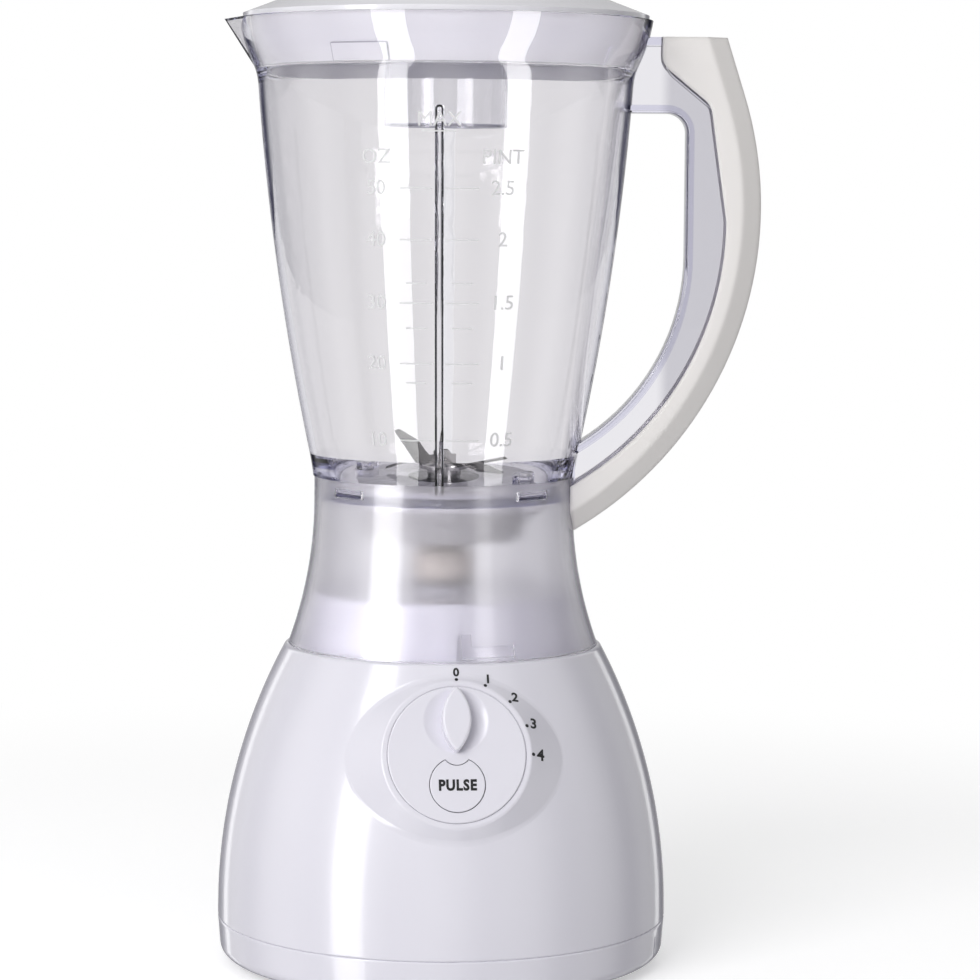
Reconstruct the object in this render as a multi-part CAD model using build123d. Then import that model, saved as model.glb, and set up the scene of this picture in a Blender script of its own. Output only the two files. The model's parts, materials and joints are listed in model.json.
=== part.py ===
"""Countertop blender: clear jar with handle on a round motor base, modelled piece by piece.

Millimetres, +Z up, origin on the drive axis where the feet stand, dial facing -Y, handle towards +X.
"""
from build123d import *
import math
import os

# Clearances
SEAT_GAP = 0.2          # flat faces of pieces that lift off each other
SLIP_GAP = 0.4          # walls that slide past each other
JOIN_GAP = 0.05         # faces that meet inside one assembly
RUN_GAP = 0.04          # shafts in their bushes
DRIVE_GAP = 0.6         # coupling teeth
NEAR = 0.01             # how closely an edge is matched to a size

# Base shells
FOOT_HEIGHT = 3.0
COVER_HEIGHT = 16.0
HOUSING_HEIGHT = 113.0
HOUSING_BAND = 3.0      # upright band above the seam, before the dome curves in
BASE_R = 92.8
SHOULDER_R = 65.0
SHOULDER_EDGE = 1.6
BASE_WALL = 2.6
COVER_EDGE = 5.0
COVER_LIP = 4.0
SEAM_EDGE = 0.8         # rounding of both shells where they meet
NOTCH_ANGLE = -23.0     # upright groove in the cover's side
NOTCH_WIDTH = 1.2
NOTCH_DEPTH = 0.9
NOTCH_HEIGHT = 8.0
NOTCH_DROP = 4.0        # groove's top below the seam
NECK_R = 52.0
NECK_DRAFT = 3.0        # extra neck radius at its foot
NECK_HEIGHT = 22.0
NECK_EDGE = 2.5
DECK_COLLAR_R = 10.0
DECK_COLLAR_HEIGHT = 2.0
DECK_HOLE_R = 6.0

# Feet, cover screws, vents and cord inlet
FOOT_R = 9.0
FOOT_INSET = 30.0       # foot centre in from the base's edge
FOOT_SOCKET = 1.5
FOOT_EDGE = 0.8
POST_INSET = 14.0       # cover screw centre in from the base's edge
POST_R = 4.5
POST_RISE = 34.0
RIB_THICK = 2.4
SCREW_R = 1.6
SCREW_HEAD_R = 3.2
SCREW_HEAD = 2.4
CROSS_R = 1.9
CROSS_WIDTH = 0.9
CROSS_DEPTH = 1.3
SCREW_GRIP = 12.0
SCREW_BITE = 0.8        # share of a blind hole that its screw fills
VENT_COUNT = 16
VENT_WIDTH = 4.0
VENT_INNER_R = 20.0
VENT_LENGTH = 24.0
GLAND_RISE = 14.0       # cord inlet above the seam
GLAND_R = 5.2
GLAND_BORE_R = 3.6
GLAND_FLANGE_R = 7.5
GLAND_FLANGE = 2.5
GLAND_LENGTH = 16.0

# Dial panel
PANEL_RISE = 79.4       # dial centre above the seam, on the dome
PANEL_TILT = 21.0
PANEL_STANDOFF = 1.0
PANEL_FACE_R = 29.4
PANEL_FLANK = 43.0      # slope of the boss's side from its face, degrees
PANEL_DEPTH = 24.0
PANEL_EDGE = 1.5
PANEL_BLEND = 5.0       # hollow rounding where the boss runs into the dome
KNOB_R = 27.2
KNOB_THICK = 8.0
KNOB_PROUD = 0.6
KNOB_EDGE = 0.6
KNOB_GAP = 0.3          # round the dial and its button
SCOOP_R = 12.7
SCOOP_DEPTH = 3.4
SCOOP_EDGE = 1.6
GRIP_LENGTH = 26.4
GRIP_WIDTH = 11.5
GRIP_HEIGHT = 5.0
GRIP_EDGE = 1.2
KNOB_TURN = 90.0
SPINDLE_R = 3.0
SPINDLE_LENGTH = 22.0
PULSE_R = 10.8
PULSE_DROP = 12.0       # button centre below the dial centre
PULSE_NOTCH_R = 6.0
PULSE_NOTCH_RISE = 1.6
PULSE_CAP = 3.0
PULSE_PROUD = 0.4
PULSE_TRAVEL = 2.5
PULSE_STEM_R = 2.0
PULSE_STOP_GAP = 0.3
PULSE_SPRING_R = 4.2
PULSE_SPRING_WIRE = 0.6
POCKET_FLOOR = 1.6

# Switches behind the dial
BRACKET_DROP = 8.0      # bracket plate behind the dial's cup
BRACKET_THICK = 2.0
BRACKET_WIDTH = 50.0
BRACKET_HEIGHT = 40.0
BRACKET_SCREW_X = 20.0
SWITCH_NECK_R = 7.0
SWITCH_WIDTH = 30.0
SWITCH_HEIGHT = 24.0
SWITCH_DEPTH = 14.0
SWITCH_LOW = 6.0        # switch box below the spindle
PULSE_SWITCH_WIDTH = 20.0
PULSE_SWITCH_HEIGHT = 10.0
PULSE_SWITCH_DEPTH = 9.0

# Jar
JAR_TURN = -6.0         # rest angle of the jar on the base, degrees
SKIRT_HEIGHT = 59.4
SKIRT_R = 63.8
SKIRT_WALL = 2.5
WAIST_R = 53.2
COLLAR_HEIGHT = 9.8
COLLAR_WALL = 2.2
FLOOR_RISE = 3.6
FLOOR_THICK = 3.0
FLOOR_CORNER = 5.0
RING_DROP = 1.0
JAR_DEPTH = 191.8
JAR_TOP_R = 76.4
JAR_WALL = 2.6
FLARE_R = 90.0          # curve from the waist into the body
FLARE_ANGLE = 12.0
RIM_R = 84.2
RIM_HEIGHT = 26.0
RIM_WALL = 2.4
RIM_FLARE_R = 22.0
RIM_FLARE_ANGLE = 22.0
LEDGE_DEPTH = 19.3
LEDGE_WIDTH = 1.6
SPOUT_REACH = 6.4       # beak past the rim
SPOUT_TIP_R = 2.5
WALL_RIB_R = 1.7
WALL_RIB_SINK = 0.2     # rib's centre line inside the wall
WALL_RIB_TOP = 36.0     # rib's end below the rim
WALL_RIB_FOOT = 0.02    # share of the rib's length where its foot meets it
BOSS_RADIUS = 35.5
BOSS_ANGLE = -20.0
BOSS_LENGTH = 12.0
BOSS_WIDTH = 7.0
BOSS_HEIGHT = 4.0
CLIP_COUNT = 4
CLIP_ANGLE = 45.0
CLIP_WIDTH = 15.0
CLIP_HEIGHT = 2.9
CLIP_RISE = 4.4         # clip above the ring's lower edge
KEY_COUNT = 3
KEY_ANGLE = -79.0       # upright of the first locating rib, on the jar
KEY_WIDTH = 4.0
KEY_UPRIGHT = 9.6
KEY_FOOT = 4.8
KEY_FOOT_ANGLE = 19.0
KEY_DEPTH = 2.4
KEY_LIFT = 1.0
KEY_APART = 5.3         # neck key beside its rib, along the neck

# Handle, in the plane of the jar's axis
HANDLE_STANDOFF = 52.2  # widest point of the grip past the jar's upper wall
GRIP_ARC_Z = 76.0       # widest point of the grip below the rim
GRIP_TAIL = -13.8       # foot of the grip's outer arc above the waist
COVER_DEPTH = 14.3
COVER_ARC_Z = 81.0
COVER_TAIL = 5.6        # foot of the shell's inner arc above the waist
SPINE_DEPTH = 16.4
SPINE_ARC_Z = 95.0
SPINE_TAIL = 21.3       # foot of the spine's inner arc above the waist
GRIP_TOP_DROP = 6.6     # grip's flat top below the rim
GRIP_TOP_LENGTH = 26.4
GRIP_TOP_X = 14.5       # grip's outer top corner in from the widest point
SPINE_TOP_DROP = 37.0   # finger opening's top below the rim
FINGER_CORNER = 8.0
NOSE_DROP = 11.0        # upright run below the grip's top, on its jar side
NOSE_X = 21.0           # bend of the shell's seam, in from the widest point
NOSE_Z = 34.0           # the same bend below the rim
COVER_WIDTH = 25.0
COVER_WALL = 2.4
COVER_LAP = 4.0         # shell past the spine's edge
COVER_CORE = 10.0       # width of the hollow in the shell
COVER_CHAMFER = 6.5
COVER_SIDE_CHAMFER = 7.6
SPINE_WIDTH = 20.0
SPINE_WEB = 6.0
SPINE_FLANGE = 3.2
SPINE_BEAD = 1.4        # rounding of the spine's finger side

# Lid and measuring cap
LID_R = 82.6
LID_EDGE = 1.8
LID_SLOPE_R = 63.4
LID_SLOPE_RISE = 9.2
LID_CROWN_R = 34.0
LID_CROWN_RISE = 16.4
LID_WALL = 2.2
LID_SKIRT_DEPTH = 18.6
LUG_COUNT = 4
LUG_ANGLE = -114.0
LUG_WIDTH = 24.0
LUG_HEIGHT = 7.0
LUG_PROUD = 0.9
CAP_R = 25.3
CAP_WALL = 2.0
CAP_DEPTH = 60.0        # cup below its flange
CAP_FLANGE_R = 31.0
CAP_FLANGE = 2.4
CAP_CROWN_R = 23.0
CAP_CROWN = 8.0
CAP_EDGE = 1.5
LID_COLLAR = 12.0

# Blade unit
SHAFT_R = 4.0
STUD_R = 2.6            # threaded end above the washer
SLEEVE_R = 7.1
SLEEVE_RISE = 3.6
SLEEVE_DROP = 19.2
SLEEVE_FLANGE_R = 15.0
SLEEVE_FLANGE = 2.2
SEAL_THICK = 1.0
BUSH_R = 5.8
BUSH_LENGTH = 8.0
CARRIER_PLATE = 6.0
CARRIER_R = 37.0
CARRIER_FOOT_R = 31.0
CARRIER_WALL = 2.4
CARRIER_HEIGHT = 16.5
EAR_R = 6.0
EAR_THICK = 5.0
WASHER_R = 10.2
WASHER_HEIGHT = 4.7
WASHER_EDGE = 3.4
WASHER_GAP = 0.3
BLADE_THICK = 1.2
BLADE_R = 26.0
BLADE_WIDTH = 13.0
BLADE_HUB_R = 8.0
BLADE_TIP_WIDTH = 3.0
BLADE_SLANT = 0.62      # share of the wing before its tip slants
BLADE_GRIND = 2.4       # width of the ground cutting edge
BLADE_KEEN = 0.3        # metal left at the cutting edge
UPPER_BENDS = (52.0, 12.0)
LOWER_BENDS = (-21.0, -23.0)
UPPER_TURN = 152.0
LOWER_TURN = -30.0
NUT_R = 5.0
NUT_HEIGHT = 4.2
COUPLING_R = 12.5
COUPLING_SOCKET = 9.5
COUPLING_ROOF = 1.2
COUPLING_HUB_R = 8.0
STAR_TEETH = 6
STAR_CORE_R = 6.0
STAR_R = 9.0
STAR_TOOTH = 3.2

# Motor
SLINGER_R = 12.0
SLINGER_THICK = 1.6
STAR_BASE_R = 10.0
STAR_BASE = 1.6
MOTOR_POST_RADIUS = 38.0
MOTOR_POST_LENGTH = 23.0
MOTOR_POST_R = 4.5
GROMMET_R = 5.0
GROMMET_THICK = 2.0
BRACKET_R = 44.0
LOWER_BRACKET_R = 36.0
MOTOR_PLATE = 2.0
BEARING_R = 7.0
BEARING_LENGTH = 9.0
BEARING_CUP = 2.0
STACK_DROP = 16.0       # stator below the upper bracket
STACK_HEIGHT = 30.0
STACK_WIDTH = 74.0
STACK_CORNER = 20.0
BORE_R = 22.0
AIR_GAP = 0.7
LOWER_DROP = 20.0       # lower bracket below the stator
BOLT_X = 30.0
BOLT_R = 2.0
BOLT_TUBE_R = 4.5
COIL_INNER_R = 23.4
COIL_OUTER_R = 29.4
COIL_START = 30.0
COIL_SIDE = 15.0
COIL_ROOM = 1.0         # slot past the coil's side, degrees
COIL_OVERHANG = 7.5
SLOT_COUNT = 12
SLOT_WIDTH = 3.0
SLOT_DEPTH = 8.0
CORE_OVERHANG = 1.0     # armature core past the stator at each end
WINDING_R = 17.5
WINDING_HEIGHT = 6.0
COMMUTATOR_R = 10.5
COMMUTATOR_LENGTH = 10.0
COMMUTATOR_BARS = 24
COMMUTATOR_SLIT = 0.6
COMMUTATOR_CUT = 1.0
BRUSH_WIDTH = 6.0
BRUSH_LENGTH = 15.0
BRUSH_SPRING_R = 2.5
BRUSH_SPRING_WIRE = 0.6
HOLDER_WALL = 1.4
HOLDER_END_R = 33.0
FAN_R = 33.0
FAN_HUB_R = 7.5
FAN_HEIGHT = 11.0
FAN_DROP = 3.0
FAN_BLADES = 9
FAN_PLATE = 1.5
FAN_BLADE = 1.6
SHAFT_TAIL = 2.0

# Levels worked out from the sizes above
Z_COVER = FOOT_HEIGHT
Z_SEAM = Z_COVER + COVER_HEIGHT
Z_SHOULDER = Z_SEAM + HOUSING_HEIGHT
Z_DECK = Z_SHOULDER + NECK_HEIGHT
Z_SKIRT = Z_SHOULDER + SEAT_GAP
Z_WAIST = Z_SKIRT + SKIRT_HEIGHT
Z_COLLAR = Z_WAIST + COLLAR_HEIGHT
Z_RING = Z_WAIST - RING_DROP
Z_FLOOR = Z_WAIST + FLOOR_RISE
Z_UNDER = Z_FLOOR - FLOOR_THICK
Z_RIM = Z_FLOOR + JAR_DEPTH
Z_FLARE = Z_RIM - RIM_HEIGHT
Z_LEDGE = Z_RIM - LEDGE_DEPTH
Z_LID = Z_RIM + SEAT_GAP
Z_CAP = Z_LID + LID_CROWN_RISE + SEAT_GAP
Z_SLINGER = Z_DECK + DECK_COLLAR_HEIGHT + WASHER_GAP
Z_STAR = Z_SLINGER + SLINGER_THICK + STAR_BASE
Z_SOCKET = Z_STAR + DRIVE_GAP
Z_SOCKET_ROOF = Z_SOCKET + COUPLING_SOCKET
Z_SHAFT_FOOT = Z_SOCKET_ROOF + COUPLING_ROOF
Z_FLANGE = Z_UNDER - SEAL_THICK - SLEEVE_FLANGE
Z_SLEEVE_FOOT = Z_FLOOR - SLEEVE_DROP
Z_SLEEVE_TOP = Z_FLOOR + SLEEVE_RISE
Z_WASHER = Z_SLEEVE_TOP + WASHER_GAP
Z_LOWER_BLADE = Z_WASHER + WASHER_HEIGHT
Z_UPPER_BLADE = Z_LOWER_BLADE + BLADE_THICK
Z_NUT = Z_UPPER_BLADE + BLADE_THICK
Z_GROMMET = Z_DECK - BASE_WALL - MOTOR_POST_LENGTH - GROMMET_THICK
Z_BRACKET = Z_GROMMET - MOTOR_PLATE
Z_STACK_TOP = Z_BRACKET - STACK_DROP
Z_STACK = Z_STACK_TOP - STACK_HEIGHT
Z_LOWER = Z_STACK - LOWER_DROP
Z_FAN = Z_LOWER - MOTOR_PLATE - BEARING_LENGTH - FAN_DROP
CUP_DEPTH = KNOB_THICK - KNOB_PROUD + SLIP_GAP
CUP_BACK = CUP_DEPTH + BASE_WALL
PLATE_FRONT = CUP_BACK + BRACKET_DROP
PLATE_BACK = PLATE_FRONT + BRACKET_THICK

QUARTERS = [45.0 + 90.0 * step for step in range(4)]
ROUND = (Align.CENTER, Align.CENTER, Align.MIN)


def turned(*edges):
    """Solid of revolution about the drive axis from edges drawn as (radius, height)."""
    return revolve(Plane.XZ * make_face(edges), Axis.Z)


def turned_points(*points):
    """Solid of revolution from straight runs between (radius, height) points."""
    return turned(*Polyline(*points, close=True).edges())


def drum(radius, low, high, inner=0.0):
    """Upright cylinder between two levels, with an optional bore."""
    body = Pos(0, 0, low) * Cylinder(radius, high - low, align=ROUND)
    if inner:
        body -= Pos(0, 0, low) * Cylinder(inner, high - low, align=ROUND)
    return body


def at_angle(angle, radius=0.0):
    """Place on the drive axis's plan at an angle and radius."""
    return Rot(0, 0, angle) * Pos(radius, 0, 0)


def block(low, high):
    """Box between two corners."""
    size = [b - a for a, b in zip(low, high)]
    return Pos(*low) * Box(*size, align=(Align.MIN, Align.MIN, Align.MIN))


def fused(shapes):
    """One solid from pieces that run into each other."""
    shapes = list(shapes)
    return shapes[0].fuse(*shapes[1:]) if len(shapes) > 1 else shapes[0]


def group(shapes):
    """Separate solids that share one node."""
    return Compound(children=[solid for shape in shapes for solid in shape.solids()])


def housing_arc():
    """Radius of the dome's arc and the height where it leaves the upright band."""
    start = Z_SEAM + HOUSING_BAND
    rise = Z_SHOULDER - start
    inset = BASE_R - SHOULDER_R
    return (rise * rise + inset * inset) / (2 * inset), start


def housing_radius(height):
    """Outer radius of the dome at a height above its upright band."""
    radius, start = housing_arc()
    return BASE_R - radius + math.sqrt(radius * radius - (height - start) ** 2)


def panel_plane():
    """Dial face: local x to the right, y up the face, z outwards."""
    tilt = math.radians(PANEL_TILT)
    height = Z_SEAM + PANEL_RISE
    reach = housing_radius(height) + PANEL_STANDOFF * math.cos(tilt)
    centre = (0, -reach, height + PANEL_STANDOFF * math.sin(tilt))
    return Plane(origin=centre, x_dir=(1, 0, 0), z_dir=(0, -math.cos(tilt), math.sin(tilt)))


PANEL = panel_plane()
FOOT_RADIUS = BASE_R - FOOT_INSET
POST_RADIUS = BASE_R - POST_INSET
GLAND_Z = Z_SEAM + GLAND_RISE


def dome(inset):
    """Solid of the housing's dome and neck, drawn in by a wall."""
    start = Z_SEAM + HOUSING_BAND
    shoulder = Z_SHOULDER - inset
    band = Line((BASE_R - inset, Z_SEAM), (BASE_R - inset, start))
    curve = TangentArc((BASE_R - inset, start), (SHOULDER_R - inset, shoulder), tangent=(0, 1))
    foot = NECK_R + NECK_DRAFT - inset
    top = Polyline(
        (SHOULDER_R - inset, shoulder),
        (foot, shoulder),
        (NECK_R - inset, Z_DECK - inset),
        (0, Z_DECK - inset),
        (0, Z_SEAM),
        (BASE_R - inset, Z_SEAM),
    )
    return turned(band, curve, *top.edges())


def ring_edges(shape, radius, height):
    """Circular edges of a turned shape at a radius and height."""
    found = []
    for edge in shape.edges().filter_by(GeomType.CIRCLE):
        if abs(edge.radius - radius) < NEAR and abs(edge.arc_center.Z - height) < NEAR:
            found.append(edge)
    return found


def panel_cone(inset):
    """Boss that carries the dial, drawn in by a wall, on the dial's own plane."""
    spread = PANEL_DEPTH / math.tan(math.radians(PANEL_FLANK))
    face = Pos(0, 0, -inset - (PANEL_DEPTH - inset) / 2)
    share = (PANEL_DEPTH - inset) / PANEL_DEPTH
    return face * Cone(PANEL_FACE_R - inset + spread * share, PANEL_FACE_R - inset, PANEL_DEPTH - inset)


def panel_foot(shell):
    """Edges where the dial's boss runs into the dome."""
    found = []
    for edge in shell.edges():
        spot = PANEL.to_local_coords(edge @ 0.5)
        flank = PANEL_FACE_R - spot.Z / math.tan(math.radians(PANEL_FLANK))
        if spot.Z < -PANEL_EDGE / 2 and abs(math.hypot(spot.X, spot.Y) - flank) < NEAR:
            found.append(edge)
    return found


def arc_slot(radius, half_width, turn, low, high):
    """Slot that follows a stem round the dial from six o'clock, clockwise."""
    sector = CenterArc((0, 0), radius, -90, -turn)
    path = make_face(
        [
            CenterArc((0, 0), radius + half_width, -90, -turn),
            Line(sector_end(radius + half_width, turn), sector_end(radius - half_width, turn)),
            CenterArc((0, 0), radius - half_width, -90 - turn, turn),
            Line((0, -radius + half_width), (0, -radius - half_width)),
        ]
    )
    body = Pos(0, 0, low) * extrude(path, high - low)
    for end in (sector @ 0, sector @ 1):
        body += Pos(end.X, end.Y, low) * Cylinder(half_width, high - low, align=ROUND)
    return body


def sector_end(radius, turn):
    """Point on a circle, clockwise from six o'clock."""
    angle = math.radians(-90 - turn)
    return (radius * math.cos(angle), radius * math.sin(angle))


def base_housing():
    shell = dome(0)
    shell = fillet(ring_edges(shell, SHOULDER_R, Z_SHOULDER), SHOULDER_EDGE)
    shell = fillet(ring_edges(shell, NECK_R, Z_DECK), NECK_EDGE)
    shell = fillet(ring_edges(shell, BASE_R, Z_SEAM), SEAM_EDGE)
    boss = panel_cone(0)
    boss = PANEL * fillet(boss.edges().group_by(Axis.Z)[-1], PANEL_EDGE)
    shell += boss - drum(BASE_R + PANEL_DEPTH, Z_SHOULDER, Z_DECK)
    shell = fillet(panel_foot(shell), PANEL_BLEND)
    shell -= dome(BASE_WALL) + PANEL * panel_cone(BASE_WALL)
    cup_r = KNOB_R + KNOB_GAP + BASE_WALL - PANEL_EDGE
    shell += PANEL * drum(cup_r, -CUP_BACK, -PANEL_EDGE)
    for side in (-1, 1):
        post = Pos(side * BRACKET_SCREW_X, 0, -PLATE_FRONT) * Cylinder(POST_R, BRACKET_DROP, align=ROUND)
        hole = Pos(side * BRACKET_SCREW_X, 0, -PLATE_FRONT) * Cylinder(SCREW_R, BRACKET_DROP, align=ROUND)
        shell += PANEL * post
        shell -= PANEL * hole
    shell -= PANEL * (Pos(0, 0, -CUP_DEPTH) * Cylinder(KNOB_R + KNOB_GAP, CUP_BACK, align=ROUND))
    shell -= PANEL * (Pos(0, 0, -CUP_BACK) * Cylinder(SPINDLE_R + SLIP_GAP, CUP_BACK, align=ROUND))
    shell -= PANEL * arc_slot(PULSE_DROP, PULSE_STEM_R + SLIP_GAP, KNOB_TURN, -CUP_BACK, 0)
    shell += drum(DECK_COLLAR_R, Z_DECK - BASE_WALL, Z_DECK + DECK_COLLAR_HEIGHT)
    shell -= drum(DECK_HOLE_R, Z_DECK - BASE_WALL, Z_DECK + DECK_COLLAR_HEIGHT)
    post_low = Z_GROMMET + GROMMET_THICK
    for angle in QUARTERS:
        place = at_angle(angle, MOTOR_POST_RADIUS)
        shell += place * drum(MOTOR_POST_R, post_low, Z_DECK - BASE_WALL / 2)
        shell -= place * drum(SCREW_R, post_low, post_low + SCREW_GRIP)
        shell += cover_post(angle)
    rear = Rot(0, 0, 90)
    inlet = rear * Pos(BASE_R - BASE_WALL / 2, 0, GLAND_Z) * Rot(0, -90, 0)
    shell += inlet * Cylinder(GLAND_R + BASE_WALL, GLAND_LENGTH - BASE_WALL, align=ROUND)
    shell -= inlet * Pos(0, 0, -BASE_WALL) * Cylinder(GLAND_R + JOIN_GAP, 2 * GLAND_LENGTH, align=ROUND)
    return shell + neck_keys()


def cover_post(angle):
    """Screw post with a rib to the wall, standing on the bottom cover."""
    low = Z_COVER + SCREW_HEAD + BASE_WALL + JOIN_GAP
    high = Z_SEAM + POST_RISE
    place = at_angle(angle, POST_RADIUS)
    reach = housing_radius(high) - POST_RADIUS - BASE_WALL / 2
    rib_low = Z_SEAM + COVER_LIP + SLIP_GAP
    post = drum(POST_R, low, high)
    post += block((0, -RIB_THICK / 2, rib_low), (reach, RIB_THICK / 2, high))
    return place * (post - drum(SCREW_R, low, low + SCREW_GRIP))


def key_angles():
    """Angles of the jar's locating ribs, on the jar."""
    return [KEY_ANGLE + 360.0 * step / KEY_COUNT for step in range(KEY_COUNT)]


def neck_keys():
    """Upright keys on the neck that the jar's locating ribs push against."""
    foot = NECK_R + NECK_DRAFT
    reach = skirt_radius(Z_SKIRT + KEY_UPRIGHT) - SKIRT_WALL - SLIP_GAP
    shapes = []
    for angle in key_angles():
        place = at_angle(angle + JAR_TURN - math.degrees(KEY_APART / foot))
        low = Z_SHOULDER - BASE_WALL / 2
        high = Z_SHOULDER + KEY_UPRIGHT
        key = block((NECK_R - BASE_WALL, -KEY_WIDTH / 2, low), (reach, KEY_WIDTH / 2, high))
        shapes.append(place * key - dome(BASE_WALL))
    return fused(shapes)


def bottom_cover():
    rim = BASE_R - BASE_WALL
    lip_r = rim - SLIP_GAP / 2
    outer = turned_points((0, Z_COVER), (BASE_R - COVER_EDGE / 4, Z_COVER), (BASE_R, Z_SEAM), (0, Z_SEAM))
    outer = fillet(ring_edges(outer, BASE_R - COVER_EDGE / 4, Z_COVER), COVER_EDGE)
    outer = fillet(ring_edges(outer, BASE_R, Z_SEAM), SEAM_EDGE)
    outer = outer + drum(lip_r, Z_SEAM, Z_SEAM + COVER_LIP)
    inner = turned_points(
        (0, Z_COVER + BASE_WALL),
        (rim - COVER_EDGE, Z_COVER + BASE_WALL),
        (lip_r - BASE_WALL, Z_COVER + BASE_WALL + COVER_EDGE),
        (lip_r - BASE_WALL, Z_SEAM + COVER_LIP),
        (0, Z_SEAM + COVER_LIP),
    )
    cover = outer - inner
    for angle in QUARTERS:
        place = at_angle(angle, POST_RADIUS)
        boss_top = Z_COVER + SCREW_HEAD + BASE_WALL
        cover += place * drum(SCREW_HEAD_R + BASE_WALL, Z_COVER + BASE_WALL / 2, boss_top)
        cover -= place * drum(SCREW_HEAD_R + SLIP_GAP, Z_COVER, Z_COVER + SCREW_HEAD + JOIN_GAP)
        cover -= place * drum(POST_R + SLIP_GAP, boss_top, Z_SEAM)
        cover -= place * drum(SCREW_R + JOIN_GAP, Z_COVER, Z_SEAM)
        cover -= at_angle(angle, FOOT_RADIUS) * drum(FOOT_R + JOIN_GAP, Z_COVER, Z_COVER + FOOT_SOCKET)
    notch_top = Z_SEAM - NOTCH_DROP
    notch = block(
        (BASE_R - COVER_EDGE / 4 - NOTCH_DEPTH, -NOTCH_WIDTH / 2, notch_top - NOTCH_HEIGHT),
        (BASE_R, NOTCH_WIDTH / 2, notch_top),
    )
    cover -= at_angle(NOTCH_ANGLE) * notch
    slot = Pos(VENT_INNER_R + VENT_LENGTH / 2, 0, 0) * SlotOverall(VENT_LENGTH, VENT_WIDTH)
    for step in range(VENT_COUNT):
        cover -= Rot(0, 0, 360.0 * step / VENT_COUNT) * Pos(0, 0, Z_COVER) * extrude(slot, BASE_WALL)
    return cover


def rubber_feet():
    foot = drum(FOOT_R, 0, FOOT_HEIGHT + FOOT_SOCKET)
    foot = fillet(ring_edges(foot, FOOT_R, 0), FOOT_EDGE)
    return group(at_angle(angle, FOOT_RADIUS) * foot for angle in QUARTERS)


def screw(low, grip):
    """Pan-head screw driven upwards, its head's lower face at a level."""
    head = drum(SCREW_HEAD_R, low, low + SCREW_HEAD)
    head = fillet(ring_edges(head, SCREW_HEAD_R, low), SCREW_HEAD / 3)
    for turn in (0, 90):
        slot = block((-CROSS_R, -CROSS_WIDTH / 2, low), (CROSS_R, CROSS_WIDTH / 2, low + CROSS_DEPTH))
        head -= Rot(0, 0, turn) * slot
    return head + drum(SCREW_R, low + SCREW_HEAD, low + SCREW_HEAD + grip)


def cover_screws():
    return group(at_angle(angle, POST_RADIUS) * screw(Z_COVER, SCREW_GRIP) for angle in QUARTERS)


def cord_gland():
    tube = Cylinder(GLAND_R, GLAND_LENGTH, align=ROUND)
    flange = Pos(0, 0, -GLAND_FLANGE) * Cylinder(GLAND_FLANGE_R, GLAND_FLANGE, align=ROUND)
    flange = fillet(flange.edges().group_by(Axis.Z)[0], GLAND_FLANGE / 3)
    bore = Pos(0, 0, -GLAND_FLANGE) * Cylinder(GLAND_BORE_R, GLAND_LENGTH + GLAND_FLANGE, align=ROUND)
    place = Rot(0, 0, 90) * Pos(BASE_R + JOIN_GAP, 0, GLAND_Z) * Rot(0, -90, 0)
    return place * (tube + flange - bore)


def pulse_outline(gap):
    """Button outline on the dial: a disc with a round notch towards the grip."""
    disc = Pos(0, -PULSE_DROP) * Circle(PULSE_R + gap)
    return disc - Pos(0, PULSE_NOTCH_RISE) * Circle(PULSE_NOTCH_R - gap)


def leaf_outline():
    """Pointed grip that runs from the dial's centre to its edge."""
    low = KNOB_R - GRIP_EDGE / 2 - GRIP_LENGTH
    middle = low + GRIP_LENGTH / 2
    tip = (0, low + GRIP_LENGTH)
    sides = [ThreePointArc((0, low), (half, middle), tip) for half in (GRIP_WIDTH / 2, -GRIP_WIDTH / 2)]
    leaf = make_face(sides)
    return fillet(leaf.vertices(), GRIP_EDGE), middle


def speed_knob():
    back = KNOB_PROUD - KNOB_THICK
    disc = Pos(0, 0, back) * Cylinder(KNOB_R, KNOB_THICK, align=ROUND)
    disc = fillet(disc.edges().group_by(Axis.Z)[-1], KNOB_EDGE)
    leaf, middle = leaf_outline()
    ball_r = (SCOOP_R**2 + SCOOP_DEPTH**2) / (2 * SCOOP_DEPTH)
    disc -= Pos(0, middle, KNOB_PROUD + ball_r - SCOOP_DEPTH) * Sphere(ball_r)
    disc = fillet(ring_edges(disc, SCOOP_R, KNOB_PROUD), SCOOP_EDGE)
    root = KNOB_PROUD - SCOOP_DEPTH - POCKET_FLOOR
    grip = Pos(0, 0, root) * extrude(leaf, KNOB_PROUD + GRIP_HEIGHT - root)
    disc += fillet(grip.edges().group_by(Axis.Z)[-1], GRIP_EDGE)
    pocket = back + POCKET_FLOOR
    disc -= Pos(0, 0, pocket) * extrude(pulse_outline(KNOB_GAP), KNOB_THICK)
    disc -= Pos(0, -PULSE_DROP, back) * Cylinder(PULSE_STEM_R + RUN_GAP, KNOB_THICK, align=ROUND)
    disc -= Pos(0, 0, back) * Cylinder(SPINDLE_R + JOIN_GAP, KNOB_THICK / 2, align=ROUND)
    return PANEL * disc


def switch_spindle():
    top = KNOB_PROUD - KNOB_THICK / 2 - JOIN_GAP
    return PANEL * (Pos(0, 0, top - SPINDLE_LENGTH) * Cylinder(SPINDLE_R, SPINDLE_LENGTH, align=ROUND))


def pulse_button():
    under = KNOB_PROUD + PULSE_PROUD - PULSE_CAP
    cap = Pos(0, 0, under) * extrude(pulse_outline(0), PULSE_CAP)
    cap = fillet(cap.edges().group_by(Axis.Z)[-1], PULSE_PROUD)
    tip = -(PLATE_BACK - PULSE_STOP_GAP - PULSE_TRAVEL)
    stem = Pos(0, -PULSE_DROP, tip) * Cylinder(PULSE_STEM_R, under - tip, align=ROUND)
    return PANEL * (cap + stem)


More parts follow.
